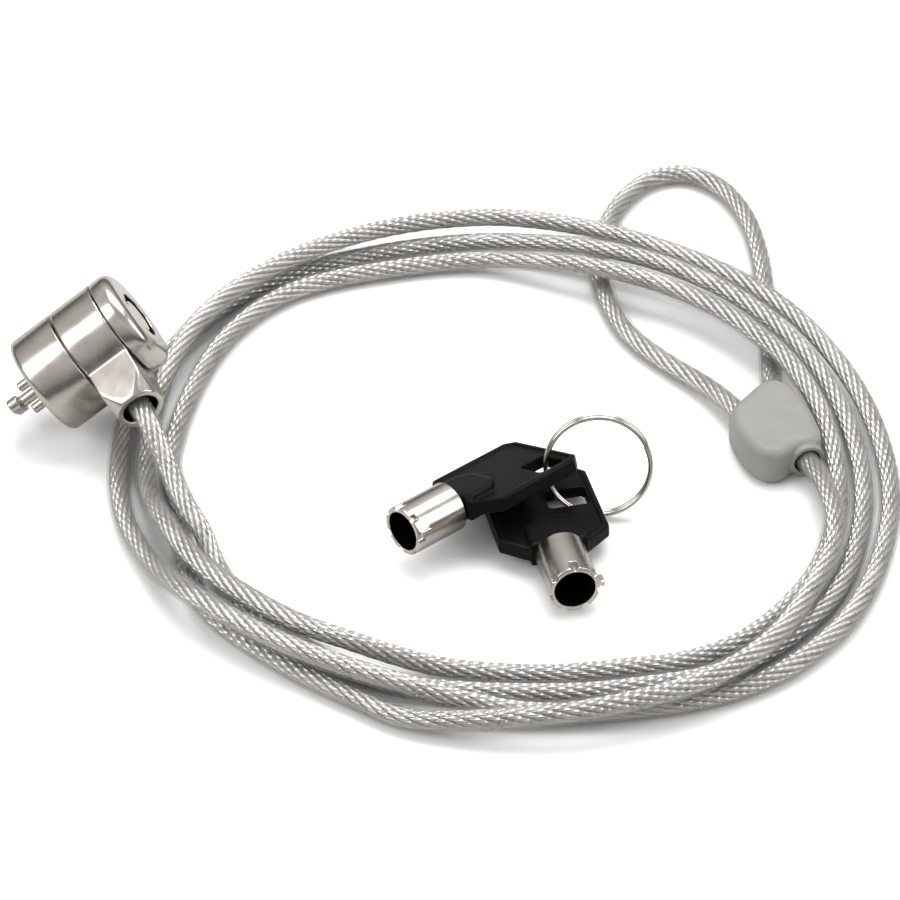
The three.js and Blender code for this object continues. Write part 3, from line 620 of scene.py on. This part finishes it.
def jacket_tube(name, node):
    """A tube with a crowned lip at each end."""
    first, last = jacket_span(node)
    points = path[first : last + 1 : 2]
    tangent, normal, across = transported(points)
    turn = 2 * np.pi * np.arange(JACKET_SIDES) / JACKET_SIDES
    c, s = np.cos(turn)[None, :, None], np.sin(turn)[None, :, None]
    ring = c * normal[:, None] + s * across[:, None]
    outside = points[:, None] + JACKET_OUTER * MM * ring
    inside = points[:, None] + JACKET_INNER * MM * ring
    wall_middle = (JACKET_OUTER + JACKET_INNER) / 2
    lips = [
        points[k][None] + wall_middle * MM * ring[k] + sign * JACKET_LIP * MM * tangent[k]
        for sign, k in ((-1, 0), (1, -1))
    ]
    rows = [lips[0], *outside, lips[1], *inside[::-1]]
    count = len(rows)
    start = np.arange(count)[:, None] * JACKET_SIDES
    after = ((np.arange(count) + 1) % count)[:, None] * JACKET_SIDES
    k = np.arange(JACKET_SIDES)[None]
    m = (k + 1) % JACKET_SIDES
    quads = np.stack([start + k, start + m, after + m, after + k], -1).reshape(-1, 4)
    obj = new_object(name, np.concatenate(rows), quads.tolist(), sharp=0)
    finish_piece(obj, "cable", [node], "clear_jacket")


build_rope()
jacket_tube("jacket_main", "cable_jacket")
jacket_tube("jacket_loop", "loop_jacket")


# ------------------------------------------------------------------ lock head
# Millimetres in the frame HEAD: Z along the head's axis to the key side, X out along the lug.
HEAD_RADIUS = 10.3
SHELL_BORE = 8.08
COLLAR_HALF, COLLAR_BORE = 4.5, 8.25
LUG_LENGTH, LUG_HALF_WIDTH, LUG_HALF_HEIGHT = 18.4, 5.7, 4.45
LUG_START, LUG_WIDEST, LUG_TAPER = 5, 6.5, 0.09
CONE_TIP, CONE_SLOPE, CONE_SCALE = 4.6, 0.45, 0.91
LUG_BORE, ROPE_HOLE = 3.5, 2.45
MOUTH_START = 15
NECK_MIDDLE, NECK_HALF_LENGTH = 14.1, 1.8
CHAMBER_MIDDLE, CHAMBER_HALF_LENGTH = 8.9, 3.9
BARREL_FRONT, BARREL_REAR, BARREL_FLOOR = -14.6, -4.95, -12.5
SPINDLE_HOLE = 1.32
CAP_FRONT, CAP_REAR, CAP_CEILING = 4.8, 9.05, 6.9
KEYWAY_RADIUS, KEYWAY_EDGE = 4.85, 5.6
NOTCH_RADIUS, NOTCH_HALF, NOTCH_AT = 5.95, 0.8, -np.pi / 2
PLUG_RADIUS, PLUG_FRONT, FLANGE_REAR = 6.8, 0.18, 3.3
POST_RADIUS, POST_REAR = 3.6, 8.75
PINS, PIN_CIRCLE, PIN_BORE, PIN_DEPTH = 7, 4.27, 0.87, 5.3
SPINDLE_SEAT, SEAT_DEPTH = 1.38, 2.6
NOSE_TURN = math.radians(25)
T_BAR_REAR, T_BAR_FRONT, T_BAR_HALF_THICK = -19.2, -21.5, 1.15
T_BAR_REACH, T_BAR_ROUND = 1.75, 1.45
STEM_RADIUS, STEM_TOP = 1.2, -15.2
GUIDE_RADIUS, GUIDE_TIP, GUIDE_ROOT = 1, -18.25, -12.7


def collar_field(x, y, z):
    """The swivelling ring, and the lug that is bored for the rope and for its stop."""
    reach = np.hypot(x, y)
    across = np.hypot(y, z)
    ring = soft_max(reach - HEAD_RADIUS, np.abs(z) - COLLAR_HALF, 0.22)
    side = np.abs(y) - LUG_HALF_WIDTH + LUG_TAPER * (x - LUG_WIDEST)
    lug = soft_max(side, np.abs(z) - LUG_HALF_HEIGHT, 0.35)
    cone = (across - CONE_TIP - (LUG_LENGTH - x) * CONE_SLOPE) * CONE_SCALE
    lug = soft_max(lug, cone, 0.3)
    lug = soft_max(lug, x - LUG_LENGTH, 0.35)
    lug = np.maximum(lug, LUG_START - x)
    body = soft_min(ring, lug, 0.3)
    mouth = np.maximum(across - LUG_BORE, MOUTH_START - x)
    neck = np.maximum(across - ROPE_HOLE, np.abs(x - NECK_MIDDLE) - NECK_HALF_LENGTH)
    chamber = np.maximum(across - LUG_BORE, np.abs(x - CHAMBER_MIDDLE) - CHAMBER_HALF_LENGTH)
    body = soft_max(body, -mouth, 0.3)
    body = np.maximum(body, -neck)
    body = np.maximum(body, -chamber)
    return soft_max(body, COLLAR_BORE - reach, 0.15)


# Faces inside the lug's bore, which get the painted shade.
def shaded_lug_bore(x, y, z):
    return (np.hypot(y, z) < LUG_BORE + 0.1) & (x > LUG_START) & (x < LUG_LENGTH - 0.5)


def cap_mesh():
    """Rear cap with a round keyway and the notch for the key's tooth."""
    profile = arcs([
        (SHELL_BORE, CAP_FRONT, 0.1), (HEAD_RADIUS, CAP_FRONT, 0.22), (HEAD_RADIUS, CAP_REAR, 2.2),
        (KEYWAY_RADIUS, CAP_REAR, 0.25), (KEYWAY_RADIUS, CAP_CEILING, 0),
        (SHELL_BORE, CAP_CEILING, 0),
    ], 7)
    segments = 144
    edge = NOTCH_HALF / ((KEYWAY_RADIUS + NOTCH_RADIUS) / 2)

    def off_notch(a):
        return abs((a - NOTCH_AT + np.pi) % (2 * np.pi) - np.pi)

    angles = [a for a in 2 * np.pi * np.arange(segments) / segments if off_notch(a) > edge * 1.2]
    extra = [NOTCH_AT + edge * t for t in (-1.01, -0.99, -0.5, 0, 0.5, 0.99, 1.01)]
    angles = np.sort(np.array(angles + [a % (2 * np.pi) for a in extra]))
    r, z = profile[:, 0], profile[:, 1]
    notched = NOTCH_RADIUS - (KEYWAY_RADIUS - np.minimum(r, KEYWAY_RADIUS))
    rows = []
    for a in angles:
        radius = r
        if off_notch(a) < edge:
            radius = np.where(r < KEYWAY_EDGE, np.maximum(r, notched), r)
        rows.append(np.c_[radius * math.cos(a), radius * math.sin(a), z])
    n, count = len(profile), len(angles)
    faces = []
    for i in range(count):
        j = (i + 1) % count
        for k in range(n):
            m = (k + 1) % n
            faces.append((i * n + k, j * n + k, j * n + m, i * n + m))
    return merged(np.concatenate(rows), faces)


# Faces of the keyway's walls, which get the painted shade.
def shaded_keyway_wall(x, y, z):
    return (np.hypot(x, y) < NOTCH_RADIUS + 0.15) & (z < CAP_REAR - 0.2)


def plug_field(x, y, z):
    """Flanged plug with seven pin bores round its post, and a seat for the spindle in front."""
    reach = np.hypot(x, y)
    flange = soft_max(reach - PLUG_RADIUS, np.maximum(z - FLANGE_REAR, PLUG_FRONT - z), 0.1)
    post = soft_max(reach - POST_RADIUS, z - POST_REAR, 0.45)
    post = np.maximum(post, PLUG_FRONT - z)
    body = soft_min(flange, post, 0.15)
    for i in range(PINS):
        a = 2 * np.pi * (i + 0.5) / PINS
        bore = np.hypot(x - PIN_CIRCLE * math.cos(a), y - PIN_CIRCLE * math.sin(a)) - PIN_BORE
        body = soft_max(body, -np.maximum(bore, z - PIN_DEPTH), 0.08)
    seat = np.maximum(reach - SPINDLE_SEAT, z - SEAT_DEPTH)
    return np.maximum(body, -seat)


# Faces of the post and pin bores behind the flange, which get the painted shade.
def shaded_plug_depths(x, y, z):
    return (z > FLANGE_REAR + 0.05) & (z < POST_REAR - 0.45)


def t_bar_field(x, y, z):
    """Crossbar on a stem, turned with the guide posts to line up with the slot."""
    c, s = math.cos(NOSE_TURN), math.sin(NOSE_TURN)
    x, y = x * c + y * s, y * c - x * s
    stem = np.maximum(np.hypot(x, y) - STEM_RADIUS, np.maximum(z - STEM_TOP, T_BAR_REAR - 0.2 - z))
    along = np.maximum(np.abs(y) - T_BAR_REACH, 0)
    flat = np.hypot(x, along) - T_BAR_ROUND
    bar = soft_max(flat, np.abs(z - (T_BAR_REAR + T_BAR_FRONT) / 2) - T_BAR_HALF_THICK, 0.45)
    return soft_min(stem, bar, 0.25)


def guide_post(number):
    """A round-ended post where the CAD has its guide pin."""
    node = f"guide_pin_{number}"
    middle = cad_points(node).mean(0)
    off = (middle - head_centre) @ HEAD[:3, :3] / MM
    profile = arcs([
        (0, GUIDE_TIP, 0), (GUIDE_RADIUS, GUIDE_TIP, 0.35),
        (GUIDE_RADIUS, GUIDE_ROOT, 0.1), (0, GUIDE_ROOT, 0),
    ], 4)
    verts, faces = lathe(profile, 32)
    mesh = (verts + (off[0], off[1], 0), faces)
    local_piece(f"guide_post_{number}", mesh, HEAD, "lock_head", [node], "satin_nickel")


collar = skin(collar_field, (-10.9, -10.9, -5), (19, 10.9, 5), 0.2)
collar = local_piece(
    "collar_with_lug", collar, HEAD, "collar", ["swivel_collar"], "satin_nickel", 40
)
# Painted shade inside the lug's bore.
paint_bore_shade(collar, HEAD, shaded_lug_bore)

barrel = arcs([
    (SPINDLE_HOLE, BARREL_FRONT, 0.15), (HEAD_RADIUS, BARREL_FRONT, 1.3),
    (HEAD_RADIUS, BARREL_REAR, 0.22), (SHELL_BORE, BARREL_REAR, 0.1),
    (SHELL_BORE, BARREL_FLOOR, 0), (SPINDLE_HOLE, BARREL_FLOOR, 0),
], 6)
barrel = lathe(barrel, 128)
local_piece("front_shell", barrel, HEAD, "lock_head", ["front_barrel"], "satin_nickel")

cap = local_piece("rear_shell", cap_mesh(), HEAD, "lock_head", ["rear_cap"], "polished_nickel")
# Painted shade on the keyway's walls.
paint_bore_shade(cap, HEAD, shaded_keyway_wall)

plug = skin(plug_field, (-7.3, -7.3, -0.2), (7.3, 7.3, 9.8), 0.16)
plug = local_piece("plug_body", plug, HEAD, "plug", ["plug"], "polished_nickel", 40)
# Painted shade on the plug's post and pin bores.
paint_bore_shade(plug, HEAD, shaded_plug_depths)

t_bar = skin(t_bar_field, (-3.2, -3.8, -22), (3.2, 3.8, -14.8), 0.1)
local_piece("t_bar_nose", t_bar, HEAD, "plug", ["t_bar"], "satin_nickel", 0)
for post in (1, 2):
    guide_post(post)


# ------------------------------------------------------------------ loop cover
# Millimetres in the frame COVER: Y along the rope that runs through, Z up from the floor.
def outline_distance(x, y, corners):
    """Signed distance to a closed outline, negative inside."""
    nearest = np.full(np.shape(x), 1e9)
    inside = np.zeros(np.shape(x), bool)
    for (ax, ay), (bx, by) in zip(corners, corners[1:] + corners[:1]):
        ex, ey = bx - ax, by - ay
        t = np.clip(((x - ax) * ex + (y - ay) * ey) / (ex * ex + ey * ey), 0, 1)
        nearest = np.minimum(nearest, np.hypot(x - ax - t * ex, y - ay - t * ey))
        if ay != by:
            crosses = (ay > y) != (by > y)
            inside ^= crosses & (x < ax + (y - ay) / (by - ay) * ex)
    return np.where(inside, -nearest, nearest)


def rounded(a, b):
    """Joins two distances at an edge as round as they are deep."""
    return np.hypot(np.maximum(a, 0), np.maximum(b, 0)) + np.minimum(np.maximum(a, b), 0)


def curved(points, steps=6):
    """A smooth closed curve through the points."""
    p = np.array(points, float)
    before, after, beyond = np.roll(p, 1, 0), np.roll(p, -1, 0), np.roll(p, -2, 0)
    out = []
    for a, b, c, d in zip(before, p, after, beyond):
        for t in np.arange(steps) / steps:
            bend = (2 * a - 5 * b + 4 * c - d) * t**2 + (3 * b - a - 3 * c + d) * t**3
            out.append(tuple(b + ((c - a) * t + bend) / 2))
    return out


# The outline is this curve pushed out by COVER_SPREAD.
COVER_PLAN = curved([
    (5.2, -5.2), (5.9, -1.0), (5.8, 3.5), (5.1, 7.6), (4.0, 10.1), (2.2, 10.0), (-0.9, 7.8),
    (-4.2, 5.3), (-5.2, 2.8), (-5.1, -2.0), (-4.3, -5.3), (-3.0, -6.9), (-1.5, -6.8), (0.3, -5.8),
    (2.0, -5.3),
])
COVER_SPREAD = 2.3
COVER_EDGE = 2.1
COVER_MIDDLE, COVER_HALF_HEIGHT = 4.25, 4.2
ROPE_LEVEL, THROUGH_X, RETURN_X = 4.1, 4.0, -4.2
THROUGH_BORE, RETURN_BORE = 2.55, 2.5
LIP_RADIUS, LIP_MIDDLE, LIP_HALF_LENGTH = 3.4, -4.6, 3.9


def cover_field(x, y, z):
    """Rounded housing with a lip where the rope runs through, and a bore where it turns back."""
    flat = outline_distance(x, y, COVER_PLAN)
    rise = np.abs(z - COVER_MIDDLE) - COVER_HALF_HEIGHT
    body = rounded(flat - COVER_SPREAD + COVER_EDGE, rise + COVER_EDGE) - COVER_EDGE
    through = np.hypot(x - THROUGH_X, z - ROPE_LEVEL)
    back = np.hypot(x - RETURN_X, z - ROPE_LEVEL)
    lip = soft_max(through - LIP_RADIUS, np.abs(y - LIP_MIDDLE) - LIP_HALF_LENGTH, 0.2)
    body = soft_min(body, lip, 0.4)
    body = soft_max(body, THROUGH_BORE - through, 0.15)
    return soft_max(body, -np.maximum(back - RETURN_BORE, -y), 0.3)


# Faces inside the cover's bore for the rope, which get the painted shade.
def shaded_through_bore(x, y, z):
    inside = np.hypot(x - THROUGH_X, z - ROPE_LEVEL) < THROUGH_BORE + 0.15
    return inside & (y > LIP_MIDDLE - LIP_HALF_LENGTH + 0.3)


cover = skin(cover_field, (-9.2, -13.2, -0.4), (9.2, 13.2, 9), 0.2)
cover = local_piece("cover_shell", cover, COVER, "cable", ["loop_cover"], "cover_plastic", 0)
# Painted shade inside the cover's bore.
paint_bore_shade(cover, COVER, shaded_through_bore)


# ------------------------------------------------------------------ keys and ring
# Millimetres in a key's frame: X from the barrel's mouth to the head, Z out of the head's face.
HEAD_START, HEAD_SHOULDER, HEAD_END, HEAD_CORNER = 11.8, 16, 35.8, 1.8
NECK_HALF, HEAD_HALF = 5.3, 10.4
PLATE_HALF, HUB_HALF = 1.5, 2.5
HUB_SHOULDER, HUB_END, HUB_END_HALF = 18.1, 20.5, 2.9
RIM, RECESS_LEVEL = 1.1, 1.2
HOLE_ROUND = 0.8
TUBE_RADIUS, TUBE_BORE = 4.75, 3.8
TUBE_TO_HEAD, BORE_TO_HEAD = 0.3, 1.5
SHANK_RADIUS, SHANK_MIDDLE, SHANK_HALF_LENGTH = 1.6, 14.4, 3.9
SHANK_HOLE, SHANK_HOLE_END = 1.75, 18.8
TOOTH_MIDDLE, TOOTH_HALF_LENGTH, TOOTH_HALF_WIDTH = 1.5, 1.1, 0.6
TOOTH_RADIUS, TOOTH_HALF_HEIGHT = 4.95, 0.7
CUT_RADIUS, CUT_START = 0.72, 0.4
CODE = (0.5, 1.3, 0.9, 1.7, 0.5, 1.3, 1.7)
RING_HOLES = {"key_1": ((27.4, -8.3), (33.2, -2)), "key_2": ((24, -8.8), (29.4, -1))}
RING_WIRE, RING_TURNS, RING_PITCH = 0.45, 2, 0.98 * MM
RING_START = math.radians(25)


def key_head_field(hole_low, hole_high):
    """Bevelled plate with a raised rim and a hub, and a square hole for the ring."""
    corners = [
        (HEAD_START, -NECK_HALF), (HEAD_SHOULDER, -HEAD_HALF), (HEAD_END - HEAD_CORNER, -HEAD_HALF),
        (HEAD_END, -HEAD_HALF + HEAD_CORNER), (HEAD_END, HEAD_HALF - HEAD_CORNER),
        (HEAD_END - HEAD_CORNER, HEAD_HALF), (HEAD_SHOULDER, HEAD_HALF), (HEAD_START, NECK_HALF),
    ]
    hub_corners = [
        (HEAD_START, -NECK_HALF), (HUB_SHOULDER, -NECK_HALF), (HUB_END, -HUB_END_HALF),
        (HUB_END, HUB_END_HALF), (HUB_SHOULDER, NECK_HALF), (HEAD_START, NECK_HALF),
    ]
    hx, hy = (hole_low[0] + hole_high[0]) / 2, (hole_low[1] + hole_high[1]) / 2
    hw, hh = (hole_high[0] - hole_low[0]) / 2, (hole_high[1] - hole_low[1]) / 2

    def field(x, y, z):
        flat = outline_distance(x, y, corners)
        body = soft_max(flat, np.abs(z) - PLATE_HALF, 0.6)
        recess = soft_max(flat + RIM, RECESS_LEVEL - np.abs(z), 0.15)
        body = soft_max(body, -recess, 0.12)
        hub = soft_max(outline_distance(x, y, hub_corners), np.abs(z) - HUB_HALF, 0.8)
        body = soft_min(body, hub, 0.4)
        beside, along = np.abs(x - hx) - hw, np.abs(y - hy) - hh
        hole = rounded(beside + HOLE_ROUND, along + HOLE_ROUND) - HOLE_ROUND
        body = soft_max(body, -hole, 0.3)
        shank_hole = np.maximum(np.hypot(y, z) - SHANK_HOLE, x - SHANK_HOLE_END)
        return np.maximum(body, -shank_hole)

    return field


def key_barrel_field(x, y, z):
    """Tube with a tooth at its mouth and seven notches in its rim, on a shank."""
    reach = np.hypot(y, z)
    tube = soft_max(reach - TUBE_RADIUS, np.maximum(x - HEAD_START + TUBE_TO_HEAD, -x), 0.25)
    bore = np.maximum(reach - TUBE_BORE, x - HEAD_START + BORE_TO_HEAD)
    tube = soft_max(tube, -bore, 0.12)
    shank = np.maximum(reach - SHANK_RADIUS, np.abs(x - SHANK_MIDDLE) - SHANK_HALF_LENGTH)
    body = np.minimum(tube, shank)
    tooth = np.maximum(
        np.abs(x - TOOTH_MIDDLE) - TOOTH_HALF_LENGTH,
        np.abs(-y - TOOTH_RADIUS) - TOOTH_HALF_HEIGHT,
    )
    body = soft_min(body, np.maximum(np.abs(z) - TOOTH_HALF_WIDTH, tooth), 0.2)
    for i, depth in enumerate(CODE):
        a = 2 * np.pi * (i + 0.5) / len(CODE)
        cut_y, cut_z = -TUBE_RADIUS * math.sin(a), -TUBE_RADIUS * math.cos(a)
        notch = np.maximum(np.hypot(y - cut_y, z - cut_z) - CUT_RADIUS, x - CUT_START - depth)
        body = soft_max(body, -notch, 0.1)
    return body


# Faces inside the key's tube, which get the painted shade.
def shaded_tube_bore(x, y, z):
    inside = np.hypot(y, z) < TUBE_BORE + 0.08
    return inside & (x > 0.3) & (x < HEAD_START - BORE_TO_HEAD + 0.3)


def split_ring():
    """Two turns of wire round the axis of the CAD's ring."""
    matrix, radius = ring_frame()
    per_turn = 110
    i = np.arange(RING_TURNS * per_turn + 1)
    angle = RING_START + 2 * np.pi * i / per_turn
    rise = (i / per_turn - RING_TURNS / 2) * RING_PITCH
    local = np.c_[radius * np.cos(angle), radius * np.sin(angle), rise]
    points = local @ matrix[:3, :3].T + matrix[:3, 3]
    obj = new_object("split_ring", *swept(points, round_section(RING_WIRE, 14)), sharp=50)
    finish_piece(obj, "key_ring", ["key_ring"], "polished_nickel")


barrel_mesh = skin(key_barrel_field, (-0.5, -6.2, -5.4), (18.9, 5.4, 5.4), 0.14)
for key, (low, high) in RING_HOLES.items():
    matrix = key_frame(key)
    tube = local_piece(
        f"{key}_tube", barrel_mesh, matrix, key, [f"{key}_barrel"], "polished_nickel", 40
    )
    # Painted shade inside the key's tube.
    paint_bore_shade(tube, matrix, shaded_tube_bore)
    grip = skin(key_head_field(low, high), (11.2, -11, -3), (36.4, 11, 3), 0.19)
    local_piece(f"{key}_grip", grip, matrix, key, [f"{key}_head"], "black_plastic", 0)
split_ring()


# ------------------------------------------------------------------ CAD nodes that stay
for name, node in frame["nodes"].items():
    if node.hide_render:
        continue
    node.data.materials.clear()
    node.data.materials.append(LOOKS[SLOT_OF[name]])
    node.data.polygons.foreach_set("use_smooth", [True] * len(node.data.polygons))
    node.data.set_sharp_from_angle(angle=math.radians(32))


# ------------------------------------------------------------------ floor, light and camera
def add_to_scene(obj):
    bpy.context.scene.collection.objects.link(obj)


def turn_towards(obj, direction):
    obj.rotation_mode = "QUATERNION"
    obj.rotation_quaternion = direction.to_track_quat("-Z", "Y")


def studio_floor():
    """White, and darker where the metal mirrors it."""
    half = 3
    mirrored_grey = (0.50, 0.49, 0.47, 1)
    corners = [(-half, -half, 0), (half, -half, 0), (half, half, 0), (-half, half, 0)]
    mesh = bpy.data.meshes.new("floor")
    mesh.from_pydata(corners, [], [(0, 1, 2, 3)])
    floor = bpy.data.objects.new("floor", mesh)
    floor.location.z = -0.05 * MM
    add_to_scene(floor)
    look = Look("floor")
    white = look.tint(look.noise(40, 2), (0.93, 0.93, 0.93), (0.95, 0.95, 0.95))
    mix = look.node("ShaderNodeMix", data_type="RGBA")
    mix.inputs["B"].default_value = mirrored_grey
    look.link(look.node("ShaderNodeLightPath").outputs["Is Glossy Ray"], mix.inputs["Factor"])
    look.link(white, mix.inputs["A"])
    roughness = look.spread(look.noise(300), 0.7, 0.8)
    shader = look.surface(mix.outputs["Result"], roughness, 0.0)
    mesh.materials.append(look.done(shader.outputs[0]))
    return floor


def area_light(name, place, width, height, power):
    """A softbox that faces the origin."""
    data = bpy.data.lights.new(name, "AREA")
    data.shape = "RECTANGLE"
    data.size, data.size_y, data.energy = width, height, power
    light = bpy.data.objects.new(name, data)
    light.location = place
    turn_towards(light, -Vector(place))
    add_to_scene(light)


def studio_world():
    """White for the camera and for soft light; banded from dark to bright in reflections."""
    bands = ((0.0, 0.10), (0.16, 0.14), (0.34, 0.55), (0.62, 0.95), (0.85, 0.62), (1.0, 0.70))
    world = bpy.data.worlds.new("studio")
    bpy.context.scene.world = world
    world.use_nodes = True
    tree = world.node_tree
    background = tree.nodes["Background"]
    background.inputs["Strength"].default_value = 0.75
    coords = tree.nodes.new("ShaderNodeTexCoord")
    split = tree.nodes.new("ShaderNodeSeparateXYZ")
    tree.links.new(coords.outputs["Generated"], split.inputs[0])
    ramp = tree.nodes.new("ShaderNodeValToRGB")
    stops = ramp.color_ramp.elements
    for index, (place, level) in enumerate(bands):
        stop = stops[index] if index < 2 else stops.new(place)
        stop.position = place
        stop.color = (level, level * 0.98, level * 0.95, 1)
    tree.links.new(split.outputs["Z"], ramp.inputs["Fac"])
    rays = tree.nodes.new("ShaderNodeLightPath")
    mix = tree.nodes.new("ShaderNodeMix")
    mix.data_type = "RGBA"
    mix.inputs["A"].default_value = (1, 1, 1, 1)
    tree.links.new(ramp.outputs["Color"], mix.inputs["B"])
    tree.links.new(rays.outputs["Is Glossy Ray"], mix.inputs["Factor"])
    tree.links.new(mix.outputs["Result"], background.inputs["Color"])


def photo_camera():
    """The photo's viewpoint: 41 degrees above the floor, with the image shifted in the frame."""
    data = bpy.data.cameras.new("camera")
    data.sensor_width, data.lens = 36, 130.2
    data.shift_x, data.shift_y = -0.06, 0.0244
    data.clip_start, data.clip_end = 0.01, 10
    camera = bpy.data.objects.new("camera", data)
    camera.location = (0.010015, -0.479155, 0.40669)
    elevation = math.radians(41)
    turn_towards(camera, Vector((0, math.cos(elevation), -math.sin(elevation))))
    add_to_scene(camera)
    bpy.context.scene.camera = camera


studio_floor()
area_light("top_softbox", (0.05, 0.25, 0.75), 0.7, 0.5, 6.0)
area_light("left_softbox", (-0.6, -0.25, 0.5), 0.35, 0.5, 2.2)
area_light("right_softbox", (0.65, -0.1, 0.4), 0.2, 0.5, 1.4)
studio_world()
photo_camera()
bpy.context.scene.view_settings.view_transform = "Standard"
